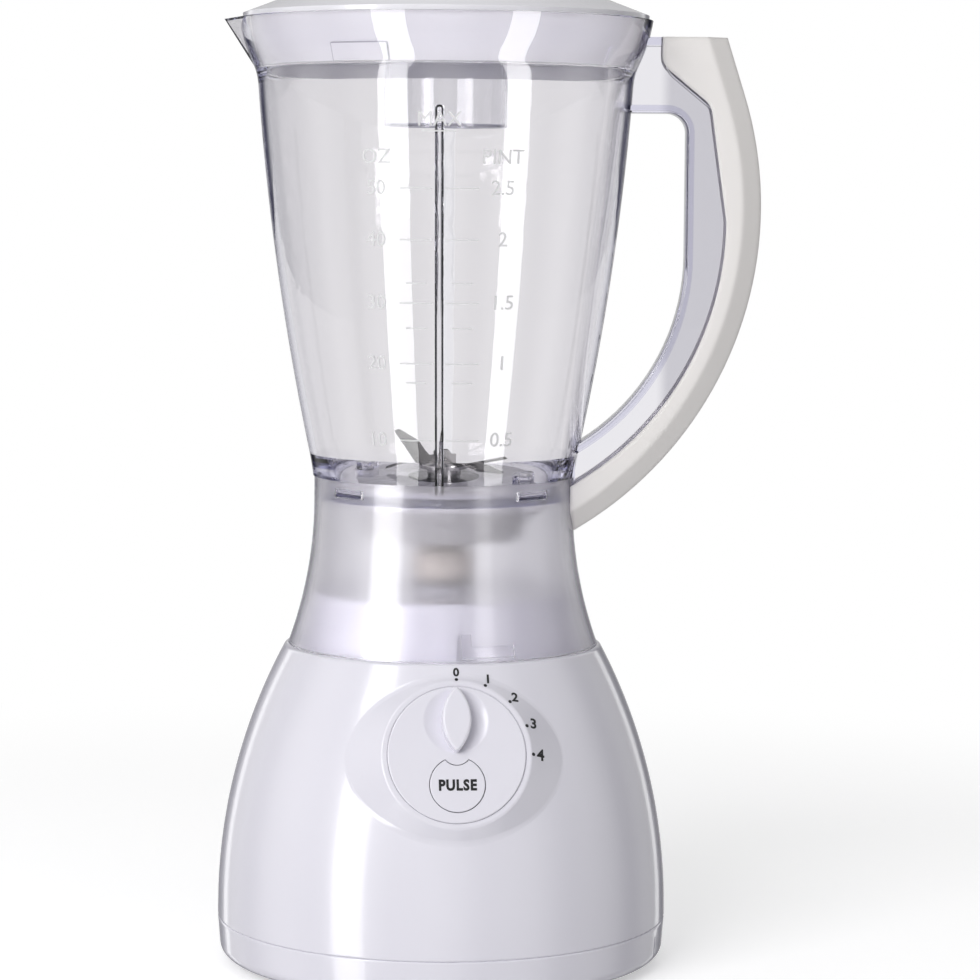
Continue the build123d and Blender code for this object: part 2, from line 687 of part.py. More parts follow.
def pulse_spring():
    low = KNOB_PROUD - KNOB_THICK + POCKET_FLOOR + JOIN_GAP
    high = KNOB_PROUD + PULSE_PROUD - PULSE_CAP - JOIN_GAP
    place = Pos(0, -PULSE_DROP, 0)
    return PANEL * (place * drum(PULSE_SPRING_R, low, high, PULSE_SPRING_R - PULSE_SPRING_WIRE))


def switch_bracket():
    low = -PLATE_BACK
    outline = RectangleRounded(BRACKET_WIDTH, BRACKET_HEIGHT, POST_R)
    plate = Pos(0, 0, low) * extrude(outline, BRACKET_THICK)
    plate -= Pos(0, 0, low) * Cylinder(SWITCH_NECK_R + JOIN_GAP, BRACKET_THICK, align=ROUND)
    plate -= arc_slot(PULSE_DROP, PULSE_STEM_R + SLIP_GAP, KNOB_TURN, low, low + BRACKET_THICK)
    for side in (-1, 1):
        hole = Cylinder(SCREW_R + JOIN_GAP, BRACKET_THICK, align=ROUND)
        plate -= Pos(side * BRACKET_SCREW_X, 0, low) * hole
    return PANEL * plate


def bracket_screws():
    low = -PLATE_BACK - SCREW_HEAD
    one = screw(low, BRACKET_THICK + BRACKET_DROP * SCREW_BITE)
    return group(PANEL * (Pos(side * BRACKET_SCREW_X, 0, 0) * one) for side in (-1, 1))


def speed_switch():
    back = -PLATE_BACK - SWITCH_DEPTH
    box = Pos(0, SWITCH_HEIGHT / 2 - SWITCH_LOW, back) * extrude(
        RectangleRounded(SWITCH_WIDTH, SWITCH_HEIGHT, SCREW_R), SWITCH_DEPTH
    )
    neck = Pos(0, 0, -PLATE_BACK) * Cylinder(SWITCH_NECK_R, PLATE_BACK - CUP_BACK - JOIN_GAP, align=ROUND)
    return PANEL * (box + neck - drum(SPINDLE_R + RUN_GAP, back + SCREW_HEAD, 0))


def pulse_switch():
    low = -PLATE_BACK - PULSE_SWITCH_DEPTH
    centre = -PULSE_DROP - (PULSE_SWITCH_HEIGHT / 2 - PULSE_STEM_R - SLIP_GAP - SCREW_R)
    plan = RectangleRounded(PULSE_SWITCH_WIDTH, PULSE_SWITCH_HEIGHT, SCREW_R / 2)
    return PANEL * (Pos(0, centre, low) * extrude(plan, PULSE_SWITCH_DEPTH))


def skirt_radius(height):
    """Outer radius of the skirt below the waist."""
    spread = SKIRT_R - WAIST_R
    radius = (SKIRT_HEIGHT**2 + spread**2) / (2 * spread)
    return WAIST_R + radius - math.sqrt(radius**2 - (Z_WAIST - height) ** 2)


def skirt_outline(inset, top):
    """Filled skirt up to a level, drawn in by a wall."""
    curve = TangentArc((WAIST_R - inset, Z_WAIST), (SKIRT_R - inset, Z_SKIRT), tangent=(0, -1))
    runs = Polyline((SKIRT_R - inset, Z_SKIRT), (0, Z_SKIRT), (0, top), (WAIST_R - inset, top))
    return turned(curve, *runs.edges(), Line((WAIST_R - inset, top), (WAIST_R - inset, Z_WAIST)))


def jar_line(inset):
    """Body curve from the waist to the rim: the flare, then one long arc."""
    flare = JernArc((WAIST_R - inset, Z_WAIST), (0, 1), FLARE_R + inset, -FLARE_ANGLE)
    body = TangentArc(flare @ 1, (JAR_TOP_R - inset, Z_FLARE), tangent=flare % 1)
    return flare, body


def jar_filled():
    """Filled outer form of the jar, from its floor ring to the rim."""
    flare, body = jar_line(0)
    rim = JernArc(body @ 1, body % 1, RIM_FLARE_R, -RIM_FLARE_ANGLE)
    lip = TangentArc(rim @ 1, (RIM_R, Z_RIM), tangent=rim % 1)
    runs = Polyline((RIM_R, Z_RIM), (0, Z_RIM), (0, Z_WAIST), (WAIST_R, Z_WAIST))
    return turned(flare, body, rim, lip, *runs.edges())


def ring_r():
    """Outer radius of the jar's floor ring, inside the skirt's collar."""
    return WAIST_R - COLLAR_WALL - JOIN_GAP


def ledge_r():
    """Inner radius of the jar just below the lid's ledge."""
    flare, body = jar_line(JAR_WALL)
    top = body @ 1
    lean = body % 1
    return top.X + (Z_LEDGE - Z_FLARE) * lean.X / lean.Y


def jar_cavity():
    """Inside of the jar: rounded floor, wall, lid ledge and open rim."""
    flare, body = jar_line(JAR_WALL)
    floor_r = ring_r() - JAR_WALL
    corner = JernArc((floor_r - FLOOR_CORNER, Z_FLOOR), (1, 0), FLOOR_CORNER, 90)
    runs = Polyline(
        body @ 1,
        (ledge_r(), Z_LEDGE),
        (ledge_r() + LEDGE_WIDTH, Z_LEDGE),
        (RIM_R - RIM_WALL, Z_RIM),
        (0, Z_RIM),
        (0, Z_FLOOR),
        (floor_r - FLOOR_CORNER, Z_FLOOR),
    )
    return turned(corner, Line(corner @ 1, flare @ 1), body, *runs.edges())


def spout(inset):
    """Beak whose sides leave the rim as tangents, drawn in by a wall."""
    tip = RIM_R + SPOUT_REACH
    half = math.acos(RIM_R / tip)
    side = (-RIM_R * math.cos(half), RIM_R * math.sin(half))
    plan = make_face(Polyline((-tip, 0), side, (-WAIST_R, 0), (side[0], -side[1]), close=True))
    nose = plan.vertices().sort_by(Axis.X)[0]
    plan = fillet(nose, SPOUT_TIP_R)
    if inset:
        plan = offset(plan, -inset)
    foot = Vertex(-(JAR_TOP_R - JAR_WALL - inset), 0, Z_FLARE + inset)
    return loft([Pos(0, 0, Z_RIM) * plan.face(), foot])


def wall_ribs():
    """Half-round rib of the inner wall, below the rim: a long bent bar and its straight foot."""
    flare, body = jar_line(JAR_WALL - WALL_RIB_SINK)
    top = Z_RIM - WALL_RIB_TOP
    share = (top - (body @ 0).Y) / ((body @ 1).Y - (body @ 0).Y)
    path = body.trim(0, share)
    foot = Line((ring_r() - JAR_WALL, Z_FLOOR - WALL_RIB_R), path @ WALL_RIB_FOOT)
    bars = []
    for line, radius in ((path, WALL_RIB_R), (foot, WALL_RIB_R - JOIN_GAP)):
        section = Plane(origin=line @ 0, x_dir=(0, 0, 1), z_dir=line % 0) * Circle(radius)
        bars.append(Plane.XZ * sweep(section, path=line))
    return [Rot(0, 0, angle) * bar for angle in (-90, 90) for bar in bars]


def handle_reach():
    """Distance from the jar's axis to the widest point of the grip."""
    return JAR_TOP_R + HANDLE_STANDOFF


def handle_foot():
    """Distance from the jar's axis where the handle's arcs end, inside the jar's wall."""
    return WAIST_R - COVER_WALL


def handle_circle(widest, drop, tail):
    """Centre and radius of a handle arc, from its widest point below the rim to its foot at the waist."""
    across = widest - handle_foot()
    down = Z_RIM - drop - Z_WAIST - tail
    radius = (across**2 + down**2) / (2 * across)
    return (widest - radius, Z_RIM - drop), radius


def arc_down(centre, radius, until):
    """Arc from its widest point down to a distance from the jar's axis."""
    angle = math.degrees(math.acos((until - centre[0]) / radius))
    return CenterArc(centre, radius, -angle, angle)


def cover_line(shift):
    """Line where the grip's shell meets the clear spine, moved outwards by a shift."""
    reach = handle_reach()
    seam_x = reach - COVER_DEPTH
    centre, radius = handle_circle(seam_x, COVER_ARC_Z, COVER_TAIL)
    arc = arc_down(centre, radius + shift, handle_foot())
    top = Z_RIM - GRIP_TOP_DROP
    nose_x = reach - GRIP_TOP_X - GRIP_TOP_LENGTH + shift
    runs = FilletPolyline(
        arc @ 1,
        (reach - NOSE_X + shift, Z_RIM - NOSE_Z),
        (nose_x, top - NOSE_DROP),
        (nose_x, top),
        radius=FINGER_CORNER,
    )
    return arc, runs


def cover_face():
    """Side view of the grip's shell."""
    reach = handle_reach()
    arc, runs = cover_line(0)
    centre, radius = handle_circle(reach, GRIP_ARC_Z, GRIP_TAIL)
    corner = (reach - GRIP_TOP_X, Z_RIM - GRIP_TOP_DROP)
    span = math.hypot(corner[0] - centre[0], corner[1] - centre[1])
    lean = math.atan2(corner[1] - centre[1], corner[0] - centre[0])
    touch = math.degrees(lean - math.acos(radius / span))
    low = math.degrees(math.acos((handle_foot() - centre[0]) / radius))
    outer = CenterArc(centre, radius, -low, low + touch)
    ends = [Line(outer @ 1, corner), Line(corner, runs @ 1), Line(outer @ 0, arc @ 0)]
    return make_face([arc, *runs.edges(), outer, *ends])


def handle_cover():
    side = cover_face()
    body = Plane.XZ * extrude(side, COVER_WIDTH / 2, both=True)
    body = chamfer(grip_edges(body), COVER_SIDE_CHAMFER, COVER_CHAMFER)
    seat = spine_face(COVER_LAP + SLIP_GAP)
    body -= Plane.XZ * extrude(seat, COVER_WIDTH / 2 - COVER_WALL, both=True)
    body -= Plane.XZ * extrude(offset(side, -COVER_WALL), COVER_CORE / 2, both=True)
    body -= skirt_outline(-SLIP_GAP, Z_COLLAR + SLIP_GAP) + jar_filled()
    return Rot(0, 0, JAR_TURN) * body.solids().sort_by(SortBy.VOLUME)[-1]


def grip_edges(body):
    """Long outer edges of the grip, along its arc and the straight run above it."""
    centre, radius = handle_circle(handle_reach(), GRIP_ARC_Z, GRIP_TAIL)
    found = []
    for edge in body.edges():
        middle = edge @ 0.5
        away = math.hypot(middle.X - centre[0], middle.Z - centre[1])
        upright = abs(abs(middle.Y) - COVER_WIDTH / 2) < NEAR
        if upright and away > radius - NEAR and middle.Z < Z_RIM - GRIP_TOP_DROP - NEAR:
            found.append(edge)
    return found


def spine_face(lap):
    """Side view of the clear spine, lapping into the grip's shell."""
    reach = handle_reach()
    arc, runs = cover_line(lap)
    widest = reach - COVER_DEPTH - SPINE_DEPTH
    centre, radius = handle_circle(widest, SPINE_ARC_Z, SPINE_TAIL)
    inner = arc_down(centre, radius, handle_foot())
    finger = FilletPolyline(
        inner @ 1,
        (widest, Z_RIM - SPINE_TOP_DROP),
        (WAIST_R, Z_RIM - SPINE_TOP_DROP),
        radius=FINGER_CORNER,
    )
    root = Polyline(finger @ 1, (WAIST_R, Z_RIM - GRIP_TOP_DROP), runs @ 1)
    foot = Line(arc @ 0, inner @ 0)
    return make_face([arc, *runs.edges(), inner, *finger.edges(), *root.edges(), foot])


def handle_spine():
    """Clear I-section that carries the grip, ready to join the jar's wall."""
    side = spine_face(COVER_LAP)
    spine = Plane.XZ * extrude(side, SPINE_WIDTH / 2, both=True)
    hollow = offset(side, -SPINE_FLANGE)
    for sign in (-1, 1):
        depth = (SPINE_WIDTH - SPINE_WEB) / 2
        spine -= Pos(0, sign * SPINE_WIDTH / 2, 0) * (Plane.XZ * extrude(hollow, depth, both=True))
    spine = fillet(finger_edges(spine), SPINE_BEAD)
    spine -= skirt_outline(-SLIP_GAP, Z_COLLAR + SLIP_GAP)
    return spine


def finger_edges(spine):
    """Edges of the spine that a finger touches, along its inner arc and the straight run above it."""
    widest = handle_reach() - COVER_DEPTH - SPINE_DEPTH
    centre, radius = handle_circle(widest, SPINE_ARC_Z, SPINE_TAIL)
    found = []
    for edge in spine.edges():
        middle = edge @ 0.5
        away = math.hypot(middle.X - centre[0], middle.Z - centre[1])
        on_arc = abs(away - radius) < NEAR and middle.Z < centre[1]
        on_run = abs(middle.X - widest) < NEAR and middle.Z > centre[1]
        if abs(abs(middle.Y) - SPINE_WIDTH / 2) < NEAR and (on_arc or on_run):
            found.append(edge)
    return found


def floor_boss(height, low):
    """Rounded block over a carrier screw, on the first of the two places."""
    plan = RectangleRounded(BOSS_WIDTH, BOSS_LENGTH, BOSS_WIDTH / 3)
    return Pos(BOSS_RADIUS, 0, low) * extrude(plan, height)


def boss_places():
    return [Rot(0, 0, BOSS_ANGLE + 180.0 * side) for side in (0, 1)]


def clip(inner, outer, gap):
    """Snap lug between the jar's floor ring and the skirt's collar."""
    low = Z_RING + CLIP_RISE - gap
    half = CLIP_WIDTH / 2 + gap
    return block((inner, -half, low), (outer, half, low + CLIP_HEIGHT + 2 * gap))


def clip_places():
    return [Rot(0, 0, CLIP_ANGLE + 360.0 * step / CLIP_COUNT) for step in range(CLIP_COUNT)]


def jar_body():
    outer = jar_filled() - drum(WAIST_R * 2, Z_WAIST - RING_DROP, Z_COLLAR)
    outer += drum(ring_r(), Z_RING, Z_COLLAR + JOIN_GAP)
    outer = outer - drum(WAIST_R * 2, Z_COLLAR, Z_COLLAR + JOIN_GAP, ring_r())
    solid = outer + handle_spine() + spout(0)
    cavity = jar_cavity() + spout(RIM_WALL)
    for rib in wall_ribs():
        cavity -= rib
    solid -= cavity
    solid -= drum(ring_r() - COLLAR_WALL, Z_RING, Z_UNDER)
    for place in boss_places():
        solid += place * floor_boss(BOSS_HEIGHT + FLOOR_THICK / 2, Z_FLOOR - FLOOR_THICK / 2)
        solid -= place * Pos(BOSS_RADIUS, 0, 0) * drum(SCREW_R, Z_UNDER, Z_FLOOR + BOSS_HEIGHT / 2)
    for place in clip_places():
        lug = place * clip(ring_r() - COLLAR_WALL / 2, WAIST_R, 0)
        solid += lug & drum(WAIST_R - SLIP_GAP, Z_RING, Z_COLLAR)
    solid -= drum(SLEEVE_R + JOIN_GAP, Z_UNDER, Z_FLOOR)
    return Rot(0, 0, JAR_TURN) * solid


def jar_skirt():
    shell = skirt_outline(0, Z_COLLAR) - skirt_outline(SKIRT_WALL, Z_COLLAR)
    shell -= drum(WAIST_R - COLLAR_WALL, Z_RING - RING_DROP, Z_COLLAR)
    for place in clip_places():
        shell -= place * clip(ring_r() - COLLAR_WALL, WAIST_R + COLLAR_WALL, SLIP_GAP)
    for angle in key_angles():
        shell += locating_rib(angle)
    return Rot(0, 0, JAR_TURN) * shell


def locating_rib(angle):
    """L-shaped rib inside the skirt's foot: an upright and a foot that runs round the wall."""
    low = Z_SKIRT + KEY_LIFT
    band = skirt_outline(SKIRT_WALL / 2, Z_COLLAR) - skirt_outline(SKIRT_WALL + KEY_DEPTH, Z_COLLAR)
    upright = block((NECK_R, -KEY_WIDTH / 2, low), (SKIRT_R, KEY_WIDTH / 2, low + KEY_UPRIGHT))
    ring = drum(SKIRT_R, low, low + KEY_FOOT)
    wedge = extrude(Plane.XY * Circle(SKIRT_R, arc_size=KEY_FOOT_ANGLE, align=None), Z_WAIST)
    return Rot(0, 0, angle) * (band & (upright + (ring & wedge)))


def blade_seal():
    return drum(SLEEVE_FLANGE_R, Z_UNDER - SEAL_THICK, Z_UNDER, SLEEVE_R + SLIP_GAP)


def bearing_housing():
    sleeve = drum(SLEEVE_R, Z_SLEEVE_FOOT, Z_SLEEVE_TOP)
    sleeve += drum(SLEEVE_FLANGE_R, Z_FLANGE, Z_FLANGE + SLEEVE_FLANGE)
    sleeve -= drum(SHAFT_R + SLIP_GAP, Z_SLEEVE_FOOT, Z_SLEEVE_TOP)
    for low in bush_levels():
        sleeve -= drum(BUSH_R, low, low + BUSH_LENGTH)
    return sleeve


def bush_levels():
    return [Z_SLEEVE_FOOT, Z_SLEEVE_TOP - BUSH_LENGTH]


def blade_bushes():
    return group(drum(BUSH_R, low, low + BUSH_LENGTH, SHAFT_R + RUN_GAP) for low in bush_levels())


def blade_carrier():
    low = Z_UNDER - CARRIER_PLATE
    foot = Z_UNDER - CARRIER_HEIGHT
    cup = turned_points((0, foot), (CARRIER_FOOT_R, foot), (CARRIER_R, Z_UNDER), (0, Z_UNDER))
    cup -= drum(CARRIER_FOOT_R - CARRIER_WALL, foot, low)
    for place in boss_places():
        ear_low = Z_UNDER - EAR_THICK
        ear = place * Pos(BOSS_RADIUS, 0, 0)
        cup += ear * drum(EAR_R, ear_low, Z_UNDER)
        cup += place * block((0, -EAR_R, ear_low), (BOSS_RADIUS, EAR_R, Z_UNDER - JOIN_GAP))
        cup -= ear * drum(SCREW_R + JOIN_GAP, low, Z_UNDER)
        cup -= ear * drum(SCREW_HEAD_R + SLIP_GAP, Z_UNDER - CARRIER_HEIGHT, ear_low)
    cup -= drum(SLEEVE_FLANGE_R + JOIN_GAP, Z_FLANGE, Z_UNDER)
    cup -= drum(SLEEVE_R + JOIN_GAP, low, Z_UNDER)
    return Rot(0, 0, JAR_TURN) * cup


def carrier_screws():
    low = Z_UNDER - EAR_THICK - SCREW_HEAD
    one = Pos(BOSS_RADIUS, 0, 0) * screw(low, EAR_THICK + FLOOR_THICK)
    return group(Rot(0, 0, JAR_TURN) * place * one for place in boss_places())


def blade_shaft():
    shaft = drum(SHAFT_R, Z_SHAFT_FOOT, Z_WASHER)
    return shaft + drum(STUD_R, Z_WASHER, Z_NUT + NUT_HEIGHT - SCREW_R / 2)


def blade_washer():
    crown = Z_WASHER + WASHER_HEIGHT
    washer = drum(WASHER_R, Z_WASHER, crown)
    washer = fillet(ring_edges(washer, WASHER_R, crown), WASHER_EDGE)
    return washer - drum(STUD_R, Z_WASHER, crown)


def blade(level, bends, turn):
    """Two-winged stamping: a flat hub with each wing bent about the hub's edge."""
    middle = level + BLADE_THICK / 2
    length = BLADE_R - BLADE_HUB_R
    half = BLADE_WIDTH / 2
    slant = (length * BLADE_SLANT, -half)
    tip = (length, half - BLADE_TIP_WIDTH)
    wing_plan = make_face(Polyline((0, -half), slant, tip, (length, half), (0, half), close=True))
    bevel = make_face(
        Polyline(
            (half - BLADE_GRIND, BLADE_THICK / 2),
            (half, BLADE_KEEN - BLADE_THICK / 2),
            (half + BLADE_GRIND, BLADE_THICK / 2),
            close=True,
        )
    )
    grind = Pos(BLADE_THICK, 0, 0) * extrude(Plane.YZ * bevel, length)
    strip = extrude(Rectangle(2 * BLADE_HUB_R, BLADE_WIDTH), BLADE_THICK / 2, both=True)
    body = Pos(0, 0, middle) * strip
    for side, bend in enumerate(bends):
        hinge = Rot(0, 0, 180.0 * side) * Pos(BLADE_HUB_R, 0, middle)
        wing = Rot(0, -bend, 0) * (extrude(wing_plan, BLADE_THICK / 2, both=True) - grind)
        knee = Rot(90, 0, 0) * Cylinder(BLADE_THICK / 2, BLADE_WIDTH)
        body += hinge * (wing + knee)
    return Rot(0, 0, turn) * (body - drum(STUD_R, level, level + BLADE_THICK))


def upper_blade():
    return blade(Z_UPPER_BLADE, UPPER_BENDS, UPPER_TURN)


def lower_blade():
    return blade(Z_LOWER_BLADE, LOWER_BENDS, LOWER_TURN)


def blade_nut():
    nut = Pos(0, 0, Z_NUT) * extrude(RegularPolygon(NUT_R, 6), NUT_HEIGHT)
    return nut - drum(STUD_R, Z_NUT, Z_NUT + NUT_HEIGHT)


def star(core, tip, tooth, low, high):
    """Toothed drive star between two levels."""
    body = drum(core, low, high)
    for step in range(STAR_TEETH):
        body += Rot(0, 0, 360.0 * step / STAR_TEETH) * block((0, -tooth / 2, low), (tip, tooth / 2, high))
    return body


def jar_coupling():
    body = drum(COUPLING_R, Z_SOCKET, Z_SHAFT_FOOT)
    body += drum(COUPLING_HUB_R, Z_SHAFT_FOOT, Z_SLEEVE_FOOT - WASHER_GAP)
    body -= drum(SHAFT_R, Z_SHAFT_FOOT, Z_SLEEVE_FOOT)
    core = STAR_CORE_R + DRIVE_GAP
    tip = STAR_R + DRIVE_GAP
    tooth = STAR_TOOTH + 2 * DRIVE_GAP
    return body - star(core, tip, tooth, Z_SOCKET, Z_SOCKET_ROOF)


def motor_coupling():
    top = Z_SOCKET_ROOF - DRIVE_GAP
    body = drum(STAR_BASE_R, Z_STAR - STAR_BASE, Z_STAR)
    body += star(STAR_CORE_R, STAR_R, STAR_TOOTH, Z_STAR, top)
    return body - drum(SHAFT_R, Z_STAR - STAR_BASE, top - STAR_BASE)


def slinger():
    return drum(SLINGER_R, Z_SLINGER, Z_SLINGER + SLINGER_THICK, SHAFT_R)


def motor_shaft():
    return drum(SHAFT_R, Z_FAN - FAN_HEIGHT - SHAFT_TAIL, Z_SOCKET_ROOF - DRIVE_GAP - STAR_BASE)


def armature_core():
    low = Z_STACK - CORE_OVERHANG
    high = Z_STACK_TOP + CORE_OVERHANG
    core = drum(BORE_R - AIR_GAP, low, high, SHAFT_R)
    for step in range(SLOT_COUNT):
        inner = BORE_R - AIR_GAP - SLOT_DEPTH
        slot = block((inner, -SLOT_WIDTH / 2, low), (BORE_R, SLOT_WIDTH / 2, high))
        core -= Rot(0, 0, 360.0 * step / SLOT_COUNT) * slot
    return core


def armature_winding():
    """Two wound heads joined by the conductors that fill the core's slots."""
    low = Z_STACK - CORE_OVERHANG
    high = Z_STACK_TOP + CORE_OVERHANG
    shapes = [
        drum(WINDING_R, low - WINDING_HEIGHT, low, SHAFT_R),
        drum(WINDING_R, high, high + WINDING_HEIGHT, SHAFT_R),
    ]
    inner = BORE_R - AIR_GAP - SLOT_DEPTH + JOIN_GAP
    half = SLOT_WIDTH / 2 - JOIN_GAP
    for step in range(SLOT_COUNT):
        bar = block((inner, -half, low), (WINDING_R, half, high))
        shapes.append(Rot(0, 0, 360.0 * step / SLOT_COUNT) * bar)
    return fused(shapes)


def commutator():
    high = Z_STACK - CORE_OVERHANG - WINDING_HEIGHT - JOIN_GAP
    low = high - COMMUTATOR_LENGTH
    half = COMMUTATOR_SLIT / 2
    inner = COMMUTATOR_R - COMMUTATOR_CUT
    outer = COMMUTATOR_R + COMMUTATOR_CUT
    ring = drum(COMMUTATOR_R, low, high, SHAFT_R)
    for step in range(COMMUTATOR_BARS):
        cut = block((inner, -half, low), (outer, half, high))
        ring -= Rot(0, 0, 360.0 * step / COMMUTATOR_BARS) * cut
    return ring


def cooling_fan():
    low = Z_FAN - FAN_HEIGHT
    fan = drum(FAN_HUB_R, low, Z_FAN) + drum(FAN_R, Z_FAN - FAN_PLATE, Z_FAN)
    for step in range(FAN_BLADES):
        vane = block((FAN_HUB_R - FAN_BLADE, -FAN_BLADE / 2, low), (FAN_R, FAN_BLADE / 2, Z_FAN))
        fan += Rot(0, 0, 360.0 * step / FAN_BLADES) * vane
    return fan - drum(SHAFT_R, low, Z_FAN)


def stator_core():
    plan = RectangleRounded(STACK_WIDTH, STACK_WIDTH, STACK_CORNER)
    core = Pos(0, 0, Z_STACK) * extrude(plan, STACK_HEIGHT) - drum(BORE_R, Z_STACK, Z_STACK_TOP)
    for side in (-1, 1):
        core -= Pos(side * BOLT_X, 0, 0) * drum(BOLT_R + JOIN_GAP, Z_STACK, Z_STACK_TOP)
    inner = COIL_INNER_R - JOIN_GAP
    outer = COIL_OUTER_R + JOIN_GAP
    span = COIL_SIDE + 2 * COIL_ROOM
    for start in coil_side_starts():
        core -= sector(inner, outer, start - COIL_ROOM, span, Z_STACK, Z_STACK_TOP)
    return core


def sector(inner, outer, start, sweep_angle, low, high):
    """Block bent round the drive axis."""
    slice_plan = Circle(outer, arc_size=sweep_angle, align=None) - Circle(inner)
    return Rot(0, 0, start) * Pos(0, 0, low) * extrude(slice_plan, high - low)


def coil_side_starts():
    """Angles where the four coil sides start, two for each pole."""
    return [base + step for base in (0.0, 180.0) for step in (COIL_START, 180.0 - COIL_START - COIL_SIDE)]


def field_coils():
    shapes = []
    low = Z_STACK - COIL_OVERHANG
    high = Z_STACK_TOP + COIL_OVERHANG
    span = 180.0 - 2 * COIL_START
    for base in (0.0, 180.0):
        coil = sector(COIL_INNER_R, COIL_OUTER_R, base + COIL_START, span, low, high)
        window = span - 2 * COIL_SIDE
        start = base + COIL_START + COIL_SIDE
        coil -= sector(BORE_R, STACK_WIDTH, start, window, Z_STACK - JOIN_GAP, Z_STACK_TOP + JOIN_GAP)
        shapes.append(coil)
    return group(shapes)


def motor_plate(radius, low, cup_low, cup_high):
    """Round end plate with a bearing cup and clearance for the shaft."""
    plate = drum(radius, low, low + MOTOR_PLATE) + drum(BEARING_R + BEARING_CUP, cup_low, cup_high)
    return plate - drum(SHAFT_R + SLIP_GAP, cup_low - MOTOR_PLATE, cup_high + MOTOR_PLATE)


def bolt_tubes(low, high):
    """Tubular legs between an end plate and the stator."""
    return [Pos(side * BOLT_X, 0, 0) * drum(BOLT_TUBE_R, low, high) for side in (-1, 1)]


def bolt_holes(low, high):
    return [Pos(side * BOLT_X, 0, 0) * drum(BOLT_R + JOIN_GAP, low, high) for side in (-1, 1)]


def upper_bracket():
    cup_low = Z_BRACKET - BEARING_LENGTH
    body = motor_plate(BRACKET_R, Z_BRACKET, cup_low, Z_BRACKET + MOTOR_PLATE)
    for leg in bolt_tubes(Z_STACK_TOP, Z_BRACKET):
        body += leg
    for hole in bolt_holes(Z_STACK_TOP, Z_BRACKET + MOTOR_PLATE):
        body -= hole
    for angle in QUARTERS:
        body -= at_angle(angle, MOTOR_POST_RADIUS) * drum(SCREW_R + JOIN_GAP, Z_BRACKET, Z_GROMMET)
    return body - drum(BEARING_R, cup_low, Z_BRACKET)


def lower_bracket():
    low = Z_LOWER - MOTOR_PLATE
    cup_low = low - BEARING_LENGTH
    body = motor_plate(LOWER_BRACKET_R, low, cup_low, Z_LOWER)
    for leg in bolt_tubes(Z_LOWER, Z_STACK):
        body += leg
    for hole in bolt_holes(low, Z_STACK):
        body -= hole
    return body - drum(BEARING_R, cup_low, low)


def motor_bearings():
    upper = drum(BEARING_R, Z_BRACKET - BEARING_LENGTH, Z_BRACKET, SHAFT_R + RUN_GAP)
    lower_top = Z_LOWER - MOTOR_PLATE
    lower = drum(BEARING_R, lower_top - BEARING_LENGTH, lower_top, SHAFT_R + RUN_GAP)
    return group([upper, lower])


def motor_bolts():
    low = Z_LOWER - MOTOR_PLATE - SCREW_HEAD
    bolt = drum(BOLT_R, low, Z_BRACKET + MOTOR_PLATE + SCREW_HEAD)
    bolt += Pos(0, 0, low) * extrude(RegularPolygon(BOLT_TUBE_R, 6), SCREW_HEAD)
    bolt += Pos(0, 0, Z_BRACKET + MOTOR_PLATE) * extrude(RegularPolygon(BOLT_TUBE_R, 6), SCREW_HEAD)
    return group(Pos(side * BOLT_X, 0, 0) * bolt for side in (-1, 1))


def motor_grommets():
    ring = drum(GROMMET_R, Z_GROMMET, Z_GROMMET + GROMMET_THICK, SCREW_R + JOIN_GAP)
    return group(at_angle(angle, MOTOR_POST_RADIUS) * ring for angle in QUARTERS)


def motor_screws():
    grip = MOTOR_PLATE + GROMMET_THICK + SCREW_GRIP * SCREW_BITE
    one = screw(Z_BRACKET - SCREW_HEAD, grip)
    return group(at_angle(angle, MOTOR_POST_RADIUS) * one for angle in QUARTERS)


def brush_level():
    """Middle of the commutator's track."""
    return Z_STACK - CORE_OVERHANG - WINDING_HEIGHT - JOIN_GAP - COMMUTATOR_LENGTH / 2


def brush_box(half, low, high, inner, outer):
    """Rectangular block lying along the brush axis, on its first side."""
    return block((-half, inner, low), (half, outer, high))


def brush_holders():
    middle = brush_level()
    half = BRUSH_WIDTH / 2
    start = COMMUTATOR_R + HOLDER_WALL
    holder = brush_box(half + HOLDER_WALL, Z_LOWER, middle + half + HOLDER_WALL, start, HOLDER_END_R)
    room = half + JOIN_GAP
    holder -= brush_box(room, middle - room, middle + room, start, HOLDER_END_R - HOLDER_WALL)
    return group(Rot(0, 0, turn) * holder for turn in (0, 180))


def carbon_brushes():
    middle = brush_level()
    half = BRUSH_WIDTH / 2
    start = COMMUTATOR_R + SLIP_GAP
    brush = brush_box(half, middle - half, middle + half, start, start + BRUSH_LENGTH)
    return group(Rot(0, 0, turn) * brush for turn in (0, 180))


def brush_springs():
    start = COMMUTATOR_R + SLIP_GAP + BRUSH_LENGTH + JOIN_GAP
    end = HOLDER_END_R - HOLDER_WALL - JOIN_GAP
    coil = drum(BRUSH_SPRING_R, 0, end - start, BRUSH_SPRING_R - BRUSH_SPRING_WIRE)
    lying = Pos(0, start, brush_level()) * Rot(-90, 0, 0) * coil
    return group(Rot(0, 0, turn) * lying for turn in (0, 180))


def rim_inner(height):
    """Inner radius of the rim between the lid's ledge and its top."""
    low = ledge_r() + LEDGE_WIDTH
    return low + (RIM_R - RIM_WALL - low) * (height - Z_LEDGE) / LEDGE_DEPTH


